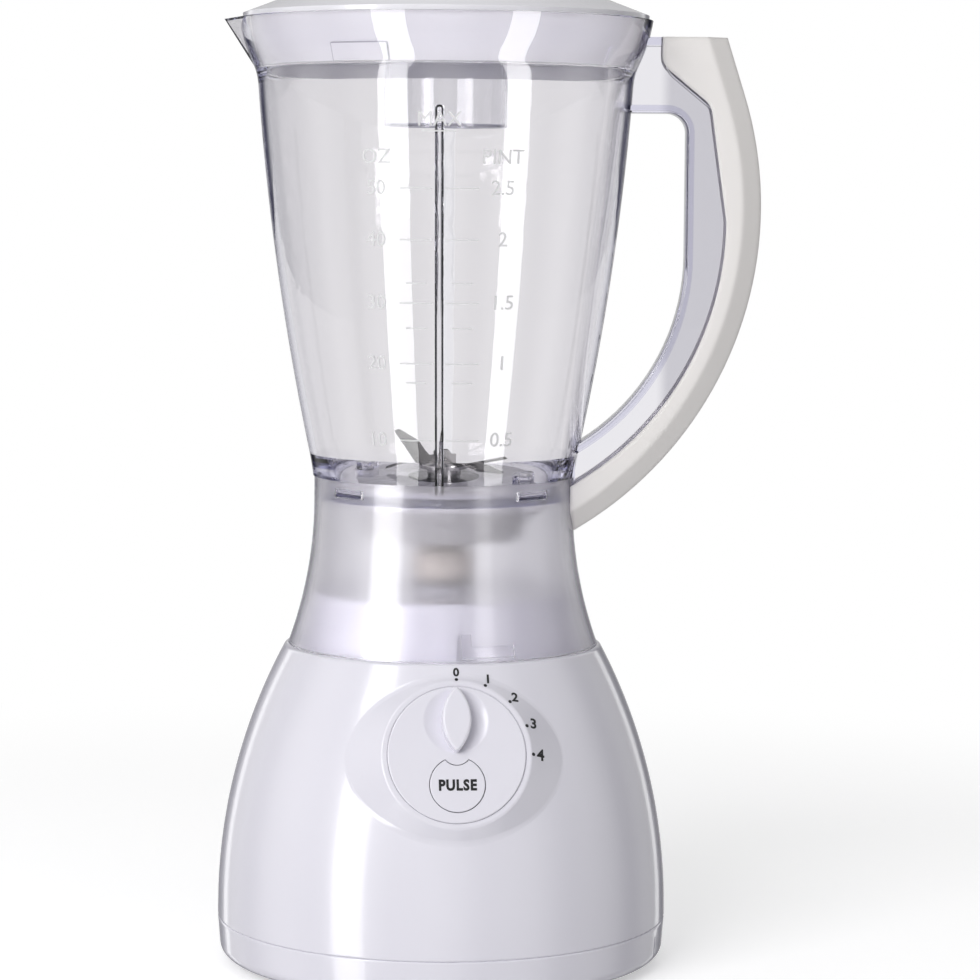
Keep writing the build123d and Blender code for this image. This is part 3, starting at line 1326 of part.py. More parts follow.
def lid():
    crown = Z_LID + LID_CROWN_RISE
    slope = Z_LID + LID_SLOPE_RISE
    hole = CAP_R + SLIP_GAP
    skirt_low = Z_RIM - LID_SKIRT_DEPTH
    low_r = lid_skirt_r(skirt_low)
    top_r = lid_skirt_r(Z_RIM)
    rising = (LID_SLOPE_R - LID_R, LID_SLOPE_RISE - LID_EDGE)
    crown_arc = TangentArc((LID_SLOPE_R, slope), (LID_CROWN_R, crown), tangent=rising)
    runs = Polyline(
        crown_arc @ 1,
        (hole, crown),
        (hole, crown - LID_COLLAR),
        (hole + LID_WALL, crown - LID_COLLAR),
        (hole + LID_WALL, crown - LID_WALL),
        (LID_CROWN_R, crown - LID_WALL),
        (LID_SLOPE_R, slope - LID_WALL),
        (top_r - LID_WALL, Z_LID + LID_EDGE - LID_WALL / 3),
        (low_r - LID_WALL, skirt_low),
        (low_r, skirt_low),
        (top_r, Z_LID),
        (LID_R, Z_LID),
        (LID_R, Z_LID + LID_EDGE),
        (LID_SLOPE_R, slope),
    )
    body = turned(crown_arc, *runs.edges())
    for step in range(LUG_COUNT):
        body += Rot(0, 0, LUG_ANGLE + 360.0 * step / LUG_COUNT) * lid_lug(skirt_low)
    return Rot(0, 0, JAR_TURN) * body


def lid_skirt_r(height):
    """Outer radius of the lid's plug, inside the rim."""
    return rim_inner(height) - SLIP_GAP - LUG_PROUD


def lid_lug(low):
    """Pad at the foot of the lid's plug that guides it in the rim."""
    high = low + LUG_HEIGHT
    foot = lid_skirt_r(low)
    top = lid_skirt_r(high)
    ring = turned_points(
        (foot - LID_WALL / 2, low),
        (foot + LUG_PROUD, low),
        (top + LUG_PROUD, high),
        (top - LID_WALL / 2, high),
    )
    return ring & block((0, -LUG_WIDTH / 2, low), (LID_R, LUG_WIDTH / 2, high))


def measuring_cap():
    low = Z_CAP - CAP_DEPTH
    top = Z_CAP + CAP_FLANGE + CAP_CROWN
    body = drum(CAP_R, low, Z_CAP) + drum(CAP_FLANGE_R, Z_CAP, Z_CAP + CAP_FLANGE)
    body = fillet(ring_edges(body, CAP_FLANGE_R, Z_CAP + CAP_FLANGE), CAP_FLANGE / 3)
    crown = drum(CAP_CROWN_R, Z_CAP, top)
    body += fillet(ring_edges(crown, CAP_CROWN_R, top), CAP_EDGE)
    body -= drum(CAP_R - CAP_WALL, low, Z_CAP)
    return body - drum(CAP_CROWN_R - CAP_WALL, Z_CAP - CAP_WALL, top - CAP_WALL)


PIECES = [
    base_housing, bottom_cover, rubber_feet, cover_screws, cord_gland,
    speed_knob, switch_spindle, pulse_button, pulse_spring,
    switch_bracket, bracket_screws, speed_switch, pulse_switch,
    jar_body, jar_skirt, handle_cover,
    blade_seal, bearing_housing, blade_bushes, blade_carrier, carrier_screws,
    blade_shaft, blade_washer, lower_blade, upper_blade, blade_nut, jar_coupling,
    motor_coupling, slinger, motor_shaft, armature_core, armature_winding, commutator, cooling_fan,
    stator_core, field_coils, upper_bracket, lower_bracket, motor_bearings, motor_bolts,
    motor_grommets, motor_screws, brush_holders, carbon_brushes, brush_springs,
    lid, measuring_cap,
]


def main():
    os.makedirs("parts", exist_ok=True)
    for piece in PIECES:
        export_step(piece(), "parts/%s.step" % piece.__name__)


main()
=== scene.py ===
"""Looks of the countertop blender: finishes, lettering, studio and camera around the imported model."""
import json
import math

import bmesh
import bpy
from mathutils import Matrix, Vector
from mathutils.bvhtree import BVHTree


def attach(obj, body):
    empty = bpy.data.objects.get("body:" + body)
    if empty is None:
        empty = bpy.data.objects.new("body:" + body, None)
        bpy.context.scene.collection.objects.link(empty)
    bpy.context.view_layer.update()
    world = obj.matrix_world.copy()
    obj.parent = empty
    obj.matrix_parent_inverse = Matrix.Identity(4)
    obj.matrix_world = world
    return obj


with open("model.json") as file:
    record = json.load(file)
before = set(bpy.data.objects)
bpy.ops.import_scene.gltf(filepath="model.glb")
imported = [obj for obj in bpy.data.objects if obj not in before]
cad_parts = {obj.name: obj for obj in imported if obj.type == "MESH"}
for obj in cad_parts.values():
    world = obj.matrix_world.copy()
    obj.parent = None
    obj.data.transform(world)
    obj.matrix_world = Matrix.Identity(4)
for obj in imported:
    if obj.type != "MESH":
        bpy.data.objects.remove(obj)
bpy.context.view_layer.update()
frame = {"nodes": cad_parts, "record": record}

NODES = frame["nodes"]
MM = 0.001

# Dial plane: centre, outward, right and up directions
JOINTS = frame["record"]["behaviour"]["joints"]
DIAL_JOINT = next(joint for joint in JOINTS if joint["name"] == "knob_turn")
DIAL_CENTRE = Vector(DIAL_JOINT["pos_m"])
DIAL_OUT = -Vector(DIAL_JOINT["axis"])
DIAL_RIGHT = Vector((1.0, 0.0, 0.0))
DIAL_UP = DIAL_OUT.cross(DIAL_RIGHT)
DIAL_FAR = 40 * MM                  # clear of everything in front of the dial
JAR_FRONT = math.radians(-96.0)     # bearing of the jar's scale about the drive axis
JAR_FAR = 150 * MM                  # clear of everything round the jar

# Outside of the jar's skirt, in metres
WAIST_LEVEL = 0.1916
WAIST_RADIUS = 0.0532
SKIRT_FLARE = 3.004                 # growth of the radius with the square of the drop below the waist
SKIRT_WALL = 0.0025

# Jar's ribs and handle, in metres
RIB_TOP = 0.3495                    # centre of the rib's round end
RIB_FOOT = 0.197
RIB_LINE = 0.00128                  # from the rib's middle to the painted dark refraction line along its edge
RIB_LINE_HALF = 0.00048
RIB_HALF = 0.0018                   # half width of the back rib
BACK_RIB_FAINT = 0.85               # share of the back rib that the eye looks straight through
RIB_SIDE = 0.03                     # nearer to the axis than either rib
RIB_SIDE_BLEND = 0.001
HANDLE_START = 0.0865
HANDLE_BLEND = 0.006

# Lid's plug and its front guide pad, measuring cap, blade carrier and jar coupling, in metres
LID_HOLLOW = (0.0, 0.0, 0.372)      # middle of the lid's open underside
PAD_FACING = math.radians(-120.0)
PAD_HALF = 0.012
PAD_TOP = 0.3754
PAD_LINE = 0.00035                  # half width of the painted shadow line round the pad
PAD_SIDE = 0.05                     # nearer to the axis than the pad
CAP_FOOT = 0.3438
CAP_LIP = 0.0012                    # height of the painted dark edge line along the cap's mouth
CARRIER_LIT = 0.1912                # carrier's wall is painted lit above this level
CARRIER_SHADED = 0.187                # and painted in shade below this one
COUPLING_SHADED = 0.1755              # coupling is painted in shade above this level
COUPLING_LIT = 0.169                # and painted lit below this one

# Skins of the clear and white plastics: patch sizes and depths in metres
CLOUD_SIZE = 0.06
SHEEN_SIZE = 0.018
PEEL_SIZE = 0.0022
PEEL_DEPTH = 0.00003
FLOW_SIZE = 0.03
FLOW_STRETCH = (1.0, 1.0, 0.45)     # waves of flow are longer up the wall
FLOW_DEPTH = 0.00004
JAR_FLOW_DEPTH = 0.000006
HAZE = 0.015                        # highest roughness of a clear skin
HAZE_SIZE = 0.012
NYLON_GRIT = 0.0012
NYLON_DEPTH = 0.00003
GRIP_ROUNDING = 0.003               # rounding of the grip's edges to the eye
ROUNDING_SAMPLES = 6
CLEAR_BEND = 1.49                   # refractive index of the clear plastic
WHITE_BEND = 1.5
CLEAR_PASS = 0.95                   # share of lamplight that passes a clear wall
FROSTED_PASS = 0.7

# Directions and scales of the patterns
UP = (0.0, 0.0, 1.0)
FROM_AXIS = (1.0, 1.0, 0.0)         # stretch that leaves the distance from the drive axis
WAVE_SCALE = 0.314                  # stripe scale for one ridge per unit
STROKE_CORE = 0.6                   # share of a line's half width that is drawn in full


class Value:
    """A shader socket that takes part in Python arithmetic."""

    def __init__(self, finish, socket):
        self.finish = finish
        self.socket = socket

    def apply(self, operation, first, second):
        return self.finish.node("ShaderNodeMath", {"operation": operation}, {0: first, 1: second})

    def __add__(self, other):
        return self.apply("ADD", self, other)

    def __radd__(self, other):
        return self.apply("ADD", other, self)

    def __sub__(self, other):
        return self.apply("SUBTRACT", self, other)

    def __rsub__(self, other):
        return self.apply("SUBTRACT", other, self)

    def __mul__(self, other):
        return self.apply("MULTIPLY", self, other)

    def __rmul__(self, other):
        return self.apply("MULTIPLY", other, self)


class Finish:
    """One procedural material, built node by node."""

    def __init__(self, name, tree=None):
        if tree is None:
            self.material = bpy.data.materials.new(name)
            self.material.use_nodes = True
            tree = self.material.node_tree
        self.tree = tree
        self.tree.nodes.clear()

    def node(self, kind, settings=None, inputs=None, output=0):
        """Adds a node: its settings first, then the values or links of its sockets."""
        made = self.tree.nodes.new(kind)
        for key, value in (settings or {}).items():
            setattr(made, key, value)
        for key, value in (inputs or {}).items():
            if isinstance(value, Value):
                self.tree.links.new(value.socket, made.inputs[key])
            else:
                made.inputs[key].default_value = value
        return None if output is None else Value(self, made.outputs[output])

    def place(self, scale=(1.0, 1.0, 1.0)):
        """Object coordinates, stretched per axis."""
        coords = self.node("ShaderNodeTexCoord", output=3)
        return self.node("ShaderNodeMapping", {"vector_type": "POINT"}, {"Vector": coords, "Scale": scale})

    def reach(self, scale=(1.0, 1.0, 1.0)):
        """Distance from the origin, in coordinates stretched per axis."""
        return self.node("ShaderNodeVectorMath", {"operation": "LENGTH"}, {0: self.place(scale)}, output=1)

    def noise(self, size, detail=2.0, scale=(1.0, 1.0, 1.0)):
        """Cloudy pattern whose patches are about a size across."""
        inputs = {"Vector": self.place(scale), "Scale": 1.0 / size, "Detail": detail}
        return self.node("ShaderNodeTexNoise", None, inputs)

    def stripes(self, pitch, direction):
        """Even ridges across a direction, a pitch apart."""
        settings = {"wave_type": "BANDS", "bands_direction": direction}
        inputs = {"Vector": self.place(), "Scale": WAVE_SCALE / pitch}
        return self.node("ShaderNodeTexWave", settings, inputs, output=1)

    def bump(self, height, distance, normal=None):
        """Relief of a height pattern, on the plain surface or on another normal."""
        inputs = {"Height": height, "Distance": distance}
        if normal is not None:
            inputs["Normal"] = normal
        return self.node("ShaderNodeBump", None, inputs)

    def blend(self, factor, first, second):
        """Mix of two colours."""
        ends = [end if isinstance(end, Value) else end + (1.0,) for end in (first, second)]
        inputs = {0: factor, 6: ends[0], 7: ends[1]}
        return self.node("ShaderNodeMix", {"data_type": "RGBA"}, inputs, output=2)

    def ramp(self, value, start, end):
        """Soft step from 0 to 1 between two values."""
        limits = {"Value": value, "From Min": start, "From Max": end}
        return self.node("ShaderNodeMapRange", {"interpolation_type": "SMOOTHSTEP"}, limits)

    def along(self, direction):
        """Distance from the origin along a direction."""
        inputs = {0: self.place(), 1: direction}
        return self.node("ShaderNodeVectorMath", {"operation": "DOT_PRODUCT"}, inputs, output=1)

    def inside(self, middle):
        """Mask of the faces that look towards a point."""
        coords = self.node("ShaderNodeTexCoord", output=3)
        facing = self.node("ShaderNodeNewGeometry", output=1)
        apart = self.node("ShaderNodeVectorMath", {"operation": "SUBTRACT"}, {0: coords, 1: middle})
        ends = {0: apart, 1: facing}
        outward = self.node("ShaderNodeVectorMath", {"operation": "DOT_PRODUCT"}, ends, output=1)
        return outward.apply("LESS_THAN", outward, 0.0)

    def stroke(self, distance, half):
        """Soft line where a distance is nil."""
        off = distance.apply("ABSOLUTE", distance, 0.0)
        return 1.0 - self.ramp(off, STROKE_CORE * half, half)

    def sight(self):
        """Masks of what the camera sees straight, in a reflection and through clear stuff."""
        camera, glossy, clear = [self.node("ShaderNodeLightPath", output=index) for index in (0, 3, 6)]
        return camera, glossy * (1.0 - clear), clear

    def finish(self, inputs, lamplight=0.0, depth_tint=None, faint=0.0):
        """Ends the material.

        A share of the lamplight passes the surface, a tint grows with the depth of the stuff behind it, and
        the eye looks straight through the faint places.
        """
        surface = self.node("ShaderNodeBsdfPrincipled", None, inputs)
        if lamplight:
            shadow = self.node("ShaderNodeLightPath", output=1)
            gap = self.node("ShaderNodeBsdfTransparent")
            passed = lamplight * shadow
            passed = passed.apply("MAXIMUM", passed, faint)
            surface = self.node("ShaderNodeMixShader", None, {0: passed, 1: surface, 2: gap})
        ends = {"Surface": surface}
        if depth_tint:
            tint, density = depth_tint
            filling = {"Color": tint + (1.0,), "Density": density}
            ends["Volume"] = self.node("ShaderNodeVolumeAbsorption", None, filling)
        self.node("ShaderNodeOutputMaterial", None, ends, output=None)
        return self.material

    def node_output(self, shader):
        self.node("ShaderNodeOutputMaterial", None, {"Surface": shader}, output=None)

    def world_output(self, background):
        self.node("ShaderNodeOutputWorld", None, {"Surface": background}, output=None)


def gloss_plastic(name, light, shade, soft_edge=0.0, look=None):
    """Moulded white housing plastic: faint flow clouds and an orange-peel skin.

    Its edges may look rounded, and a look may paint light and shadow over its colour.
    """
    made = Finish(name)
    colour = made.blend(made.noise(CLOUD_SIZE), light, shade)
    peel = made.noise(PEEL_SIZE, 1.0)
    rounded = None
    if soft_edge:
        rounded = made.node("ShaderNodeBevel", {"samples": ROUNDING_SAMPLES}, {"Radius": soft_edge})
    return made.finish({
        "Base Color": look(made, colour) if look else colour,
        "Roughness": 0.13 + 0.08 * made.noise(SHEEN_SIZE, 4.0),
        "Normal": made.bump(peel, PEEL_DEPTH, rounded),
        "Coat Weight": 0.35,
        "Coat Roughness": 0.06,
        "IOR": WHITE_BEND,
    })


def lid_painted_light_and_shadow(made, colour):
    """Painted light that makes the shaded hollow under the lid paler, and painted shadow lines round the
    guide pad on its plug.
    """
    height = made.along(UP)
    side = made.along((-math.sin(PAD_FACING), math.cos(PAD_FACING), 0.0))
    front = made.along((math.cos(PAD_FACING), math.sin(PAD_FACING), 0.0))
    off_side = side.apply("ABSOLUTE", side, 0.0)
    below = height.apply("LESS_THAN", height, PAD_TOP)
    # Painted shadow: dark lines round the guide pad, where it stands proud of the plug
    ends = made.stroke(off_side - PAD_HALF, PAD_LINE) * below
    top = made.stroke(height - PAD_TOP, PAD_LINE) * off_side.apply("LESS_THAN", off_side, PAD_HALF)
    lines = ends.apply("MAXIMUM", ends, top) * front.apply("GREATER_THAN", front, PAD_SIDE)
    # Painted light: the lid's underside, which lies in shade, is painted paler
    hollow = made.inside(LID_HOLLOW)
    return made.blend(lines * (1.0 - hollow), made.blend(hollow, colour, LID_PAINTED_LIGHT_TINT), PAD_PAINTED_SHADOW_TINT)


def clear_plastic(name, tint, painted_lip_tint, depth_tint):
    """Clear moulded plastic with slow waves of flow in its skin, and a painted dark edge line along the
    cap's mouth.
    """
    made = Finish(name)
    flow = made.noise(FLOW_SIZE, 2.0, FLOW_STRETCH)
    height = made.along(UP)
    # Painted shade: a dark edge line painted along the clear cap's mouth
    lip = height.apply("LESS_THAN", height, CAP_FOOT + CAP_LIP)
    return made.finish({
        "Base Color": made.blend(lip, tint, painted_lip_tint),
        "Roughness": HAZE * made.noise(HAZE_SIZE, 3.0),
        "Normal": made.bump(flow, FLOW_DEPTH),
        "Transmission Weight": 1.0,
        "IOR": CLEAR_BEND,
    }, CLEAR_PASS, depth_tint)


def jar_plastic(name, tint, handle_tint, painted_line_tint, depth_tint):
    """Clear plastic of the jar.

    It is greyer in the thick handle, carries a painted dark refraction line along each edge of the front
    rib and is faint in the back rib.
    """
    made = Finish(name)
    flow = made.noise(FLOW_SIZE, 2.0, FLOW_STRETCH)
    height = made.along(UP)
    side = made.along((-math.sin(JAR_FRONT), math.cos(JAR_FRONT), 0.0))
    front = made.along((math.cos(JAR_FRONT), math.sin(JAR_FRONT), 0.0))
    past_end = height.apply("MAXIMUM", height - RIB_TOP, 0.0)
    away = made.node("ShaderNodeMath", {"operation": "SQRT"}, {0: side * side + past_end * past_end})
    at_front = made.ramp(front, RIB_SIDE, RIB_SIDE + RIB_SIDE_BLEND)
    at_back = made.ramp(front, -RIB_SIDE, -RIB_SIDE - RIB_SIDE_BLEND)
    above_foot = made.ramp(height, RIB_FOOT, RIB_FOOT + RIB_LINE)
    # Painted shade: a dark refraction line painted along each edge of the clear front rib
    line = made.stroke(away - RIB_LINE, RIB_LINE_HALF) * at_front * above_foot
    back_rib = (1.0 - made.ramp(away, RIB_HALF, 1.2 * RIB_HALF)) * at_back * above_foot
    thick = made.ramp(made.reach(FROM_AXIS), HANDLE_START, HANDLE_START + HANDLE_BLEND)
    return made.finish({
        "Base Color": made.blend(line, made.blend(thick, tint, handle_tint), painted_line_tint),
        "Roughness": HAZE * made.noise(HAZE_SIZE, 3.0),
        "Normal": made.bump(flow, JAR_FLOW_DEPTH),
        "Transmission Weight": 1.0,
        "IOR": CLEAR_BEND,
    }, CLEAR_PASS, depth_tint, BACK_RIB_FAINT * back_rib)


def frosted_plastic(name, tint):
    """Milky plastic of the skirt: satin outside, rougher inside, with clear ribs that stand inwards."""
    made = Finish(name)
    drop = WAIST_LEVEL - made.along(UP)
    depth = WAIST_RADIUS + SKIRT_FLARE * (drop * drop) - made.reach(FROM_AXIS)
    inside = depth.apply("GREATER_THAN", depth, 0.5 * SKIRT_WALL)
    rib = depth.apply("GREATER_THAN", depth, 1.3 * SKIRT_WALL)
    return made.finish({
        "Base Color": tint + (1.0,),
        "Roughness": 0.15 + 0.15 * inside - 0.24 * rib + 0.04 * made.noise(0.01, 3.0),
        "Normal": made.bump(made.noise(0.02), 0.0001),
        "Transmission Weight": 0.93,
        "IOR": CLEAR_BEND,
    }, FROSTED_PASS)


def raised_plastic(name, tint):
    """Milky face of the jar's moulded lettering."""
    made = Finish(name)
    return made.finish({
        "Base Color": tint + (1.0,),
        "Roughness": 0.32 + 0.12 * made.noise(0.002),
        "Transmission Weight": 0.35,
        "IOR": CLEAR_BEND,
    })


def metal(name, light, shade, smooth, rough, grain=(1.0, 1.0, 1.0), pitch=0.0006, depth=0.000004):
    """Worked metal with a grain of fine tool lines."""
    made = Finish(name)
    lines = made.noise(pitch, 2.0, grain)
    return made.finish({
        "Base Color": made.blend(lines, light, shade),
        "Metallic": 1.0,
        "Roughness": smooth + (rough - smooth) * made.noise(0.006, 3.0),
        "Normal": made.bump(lines, depth),
    })


def dull(name, light, shade, rough, pitch, depth):
    """Matt moulded or cast stuff with a fine texture."""
    made = Finish(name)
    grit = made.noise(pitch, 3.0)
    return made.finish({
        "Base Color": made.blend(made.noise(pitch * 12, 2.0), light, shade),
        "Roughness": rough - 0.12 + 0.24 * grit,
        "Normal": made.bump(grit, depth),
    })


def shaded_nylon(name, light, shade, lit_level, shade_level):
    """Nylon piece under the jar's floor, painted in shade at one level and lit at another, with a soft step
    between.
    """
    made = Finish(name)
    lit = made.ramp(made.along(UP), shade_level, lit_level)
    grit = made.noise(NYLON_GRIT, 3.0)
    return made.finish({
        "Base Color": made.blend(lit, shade, light),
        "Roughness": 0.38 + 0.14 * grit,
        "Normal": made.bump(grit, NYLON_DEPTH),
    })


def laminated(name, light, shade, pitch):
    """Stack of thin steel sheets."""
    made = Finish(name)
    sheets = made.stripes(pitch, "Z")
    return made.finish({
        "Base Color": made.blend(sheets, shade, light),
        "Metallic": 0.85,
        "Roughness": 0.42 + 0.2 * made.noise(0.004),
        "Normal": made.bump(sheets, 0.00012),
    })


def wound_wire(name, light, shade, pitch):
    """Lacquered wire laid side by side."""
    made = Finish(name)
    turns = made.stripes(pitch, "DIAGONAL")
    return made.finish({
        "Base Color": made.blend(turns, shade, light),
        "Metallic": 0.9,
        "Roughness": 0.24 + 0.14 * made.noise(0.003),
        "Normal": made.bump(turns, 0.0002),
        "Coat Weight": 0.4,
    })


CLEAR_DEPTH = ((0.62, 0.62, 0.8), 45.0)     # tint and density inside the clear plastic
JAR_TINT = (0.925, 0.915, 0.91)
HANDLE_TINT = (0.66, 0.65, 0.67)
# Painted dark refraction line along the front rib's edges
RIB_PAINTED_LINE_TINT = (0.003, 0.003, 0.004)
# Painted dark edge line along the measuring cap's mouth
LIP_PAINTED_SHADE_TINT = (0.45, 0.45, 0.5)
# Painted light on the shaded underside of the lid
LID_PAINTED_LIGHT_TINT = (0.96, 0.955, 0.98)
# Painted shadow lines round the lid's guide pad
PAD_PAINTED_SHADOW_TINT = (0.42, 0.41, 0.46)
FINISHES = {
    "white_plastic": gloss_plastic("white_plastic", (0.785, 0.772, 0.84), (0.755, 0.742, 0.812)),
    "clear_plastic": clear_plastic("clear_plastic", (0.96, 0.96, 0.96), LIP_PAINTED_SHADE_TINT, CLEAR_DEPTH),
    "frosted_plastic": frosted_plastic("frosted_plastic", (0.86, 0.85, 0.885)),
    # Carrier painted in shade low on its wall and lit above
    "white_nylon": shaded_nylon("white_nylon", (0.94, 0.93, 0.94), (0.42, 0.41, 0.415),
                                CARRIER_LIT, CARRIER_SHADED),
    "rubber": dull("rubber", (0.025, 0.025, 0.027), (0.04, 0.04, 0.042), 0.72, 0.0008, 0.00004),
    "steel": metal("steel", (0.55, 0.56, 0.58), (0.43, 0.44, 0.46), 0.22, 0.38),
    "stainless": metal("stainless", (0.50, 0.49, 0.49), (0.38, 0.37, 0.37), 0.1, 0.22, (1.0, 1.0, 14.0)),
    "blade_steel": metal("blade_steel", (0.25, 0.24, 0.235), (0.16, 0.155, 0.15), 0.16, 0.3, (0.15, 1, 1)),
    "bronze": metal("bronze", (0.52, 0.36, 0.15), (0.40, 0.27, 0.11), 0.3, 0.5),
    "coupling_plastic": dull("coupling_plastic", (0.56, 0.50, 0.46), (0.50, 0.45, 0.41), 0.5, 0.001, 3e-5),
    "black_plastic": dull("black_plastic", (0.018, 0.018, 0.02), (0.03, 0.03, 0.032), 0.48, 0.001, 0.00003),
    "lamination": laminated("lamination", (0.2, 0.2, 0.21), (0.09, 0.09, 0.1), 0.0006),
    "copper": wound_wire("copper", (0.62, 0.25, 0.1), (0.3, 0.1, 0.04), 0.0007),
    "cast_bracket": dull("cast_bracket", (0.46, 0.47, 0.48), (0.4, 0.41, 0.42), 0.5, 0.0014, 0.00008),
    "carbon": dull("carbon", (0.02, 0.02, 0.021), (0.035, 0.035, 0.036), 0.62, 0.0006, 0.00002),
}


def print_ink(name):
    """Matt black pad print."""
    made = Finish(name)
    return made.finish({
        "Base Color": made.blend(made.noise(0.0015), (0.012, 0.012, 0.014), (0.03, 0.03, 0.032)),
        "Roughness": 0.42 + 0.2 * made.noise(0.0006),
    })


INK = print_ink("print_ink")
RAISED = raised_plastic("raised_scale", (0.97, 0.97, 0.98))
OWN_FINISHES = {
    "lid": gloss_plastic("lid_white", (0.80, 0.792, 0.835), (0.78, 0.772, 0.815), look=lid_painted_light_and_shadow),
    "jar_body": jar_plastic("jar_clear", JAR_TINT, HANDLE_TINT, RIB_PAINTED_LINE_TINT, CLEAR_DEPTH),
    "handle_cover": gloss_plastic("handle_white", (0.83, 0.805, 0.79), (0.805, 0.78, 0.765), GRIP_ROUNDING),
    # Coupling painted in shade at its top and lit below
    "jar_coupling": shaded_nylon("coupling_nylon", (0.66, 0.59, 0.52), (0.16, 0.14, 0.12),
                                 COUPLING_LIT, COUPLING_SHADED),
}

for part in frame["record"]["subparts"]:
    looks = NODES[part["node"]].data.materials
    looks.clear()
    looks.append(OWN_FINISHES.get(part["node"]) or FINISHES[part["material_slot"]])


CAPITAL_SHARE = 0.69                # height of a capital letter as a share of its font's size
LETTER_STEPS = 3                    # fineness of a letter's curves
WELD = 1e-7
DOT_SIDES = 24
RING_SIDES = 180
BAR_CUTS = 3


def surface_of(node):
    """Search tree of a node's surface."""
    mesh = NODES[node].data
    return BVHTree.FromPolygons([v.co for v in mesh.vertices], [p.vertices for p in mesh.polygons])


def lettering(text, height, weight, depth, spacing=1.0):
    """Flat letters centred on the origin, as a bmesh with a thickness."""
    curve = bpy.data.curves.new("letters", "FONT")
    curve.body = text
    curve.size = height / CAPITAL_SHARE
    curve.align_x = "CENTER"
    curve.align_y = "CENTER"
    curve.offset = weight
    curve.space_character = spacing
    curve.extrude = depth / 2
    curve.resolution_u = LETTER_STEPS
    holder = bpy.data.objects.new("letters", curve)
    bpy.context.scene.collection.objects.link(holder)
    bpy.context.view_layer.update()
    mesh = bpy.data.meshes.new_from_object(holder.evaluated_get(bpy.context.evaluated_depsgraph_get()))
    bpy.data.objects.remove(holder)
    bpy.data.curves.remove(curve)
    letters = bmesh.new()
    letters.from_mesh(mesh)
    bpy.data.meshes.remove(mesh)
    bmesh.ops.remove_doubles(letters, verts=letters.verts, dist=WELD)
    bmesh.ops.translate(letters, vec=(0, 0, depth / 2), verts=letters.verts)
    return letters


def dot(radius, depth):
    """Round printed dot."""
    disc = bmesh.new()
    sizes = {"radius1": radius, "radius2": radius, "depth": depth}
    bmesh.ops.create_cone(disc, cap_ends=True, segments=DOT_SIDES, **sizes)
    bmesh.ops.translate(disc, vec=(0, 0, depth / 2), verts=disc.verts)
    return disc


def bar(length, width, depth):
    """Flat tick, split along its length so that it can follow a round wall."""
    tick = bmesh.new()
    bmesh.ops.create_cube(tick, size=1.0)
    bmesh.ops.scale(tick, vec=(length, width, depth), verts=tick.verts)
    bmesh.ops.translate(tick, vec=(0, 0, depth / 2), verts=tick.verts)
    along = [e for e in tick.edges if abs((e.verts[0].co - e.verts[1].co).x) > length / 2]
    bmesh.ops.subdivide_edges(tick, edges=along, cuts=BAR_CUTS, use_grid_fill=True)
    return tick


def ring(inner, outer, depth):
    """Flat ring that reaches down from the origin's level."""
    hoop = bmesh.new()
    bmesh.ops.create_circle(hoop, segments=RING_SIDES, radius=outer)
    grown = bmesh.ops.extrude_edge_only(hoop, edges=hoop.edges[:])["geom"]
    inside = [part for part in grown if isinstance(part, bmesh.types.BMVert)]
    bmesh.ops.scale(hoop, vec=(inner / outer, inner / outer, 1.0), verts=inside)
    sunk = bmesh.ops.extrude_face_region(hoop, geom=hoop.faces[:])["geom"]
    below = [part for part in sunk if isinstance(part, bmesh.types.BMVert)]
    bmesh.ops.translate(hoop, vec=(0, 0, -depth), verts=below)
    return hoop


def piece(name, shapes, body, finish):
    """Joins bmesh shapes into one piece that rides on a body."""
    mesh = bpy.data.meshes.new(name)
    joined = bmesh.new()
    for shape in shapes:
        shape.to_mesh(mesh)
        joined.from_mesh(mesh)
        shape.free()
    bmesh.ops.recalc_face_normals(joined, faces=joined.faces)
    joined.to_mesh(mesh)
    joined.free()
    mesh.materials.append(finish)
    made = bpy.data.objects.new(name, mesh)
    bpy.context.scene.collection.objects.link(made)
    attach(made, body)
    return made


def on_dial(shape, across, up, surface, lift):
    """Lays a flat shape on the dial's side of a surface, seen along the dial's axis."""
    for vert in shape.verts:
        flat = DIAL_CENTRE + DIAL_RIGHT * (across + vert.co.x) + DIAL_UP * (up + vert.co.y)
        hit = surface.ray_cast(flat + DIAL_OUT * DIAL_FAR, -DIAL_OUT)[0]
        vert.co = hit + DIAL_OUT * (lift + vert.co.z)
    return shape


def on_jar(shape, around, height, surface, lift):
    """Wraps a flat shape round the jar's outer wall, a way round from its front and at a height."""
    front = Vector((math.cos(JAR_FRONT), math.sin(JAR_FRONT), 0.0))
    radius = math.hypot(*surface.ray_cast(front * JAR_FAR + Vector((0, 0, height)), -front)[0].xy)
    for vert in shape.verts:
        turn = JAR_FRONT + (around + vert.co.x) / radius
        out = Vector((math.cos(turn), math.sin(turn), 0.0))
        hit = surface.ray_cast(out * JAR_FAR + Vector((0, 0, height + vert.co.y)), -out)[0]
        vert.co = hit + out * (lift + vert.co.z)
    return shape


DIAL_NUMBERS = "01234"
DIAL_START = 89.0                   # direction of the first dot, degrees from the right
DIAL_STEP = 22.2
DOT_RING = 30.2 * MM
DOT_RADIUS = 0.7 * MM
NUMBER_RING = 33.3 * MM
NUMBER_HEIGHT = 3.3 * MM
NUMBER_GROWTH = 0.25 * MM           # numbers lower down lie flatter to the eye
NUMBER_WEIGHT = 0.17 * MM
PRINT_LIFT = 0.02 * MM
PRINT_DEPTH = 0.06 * MM


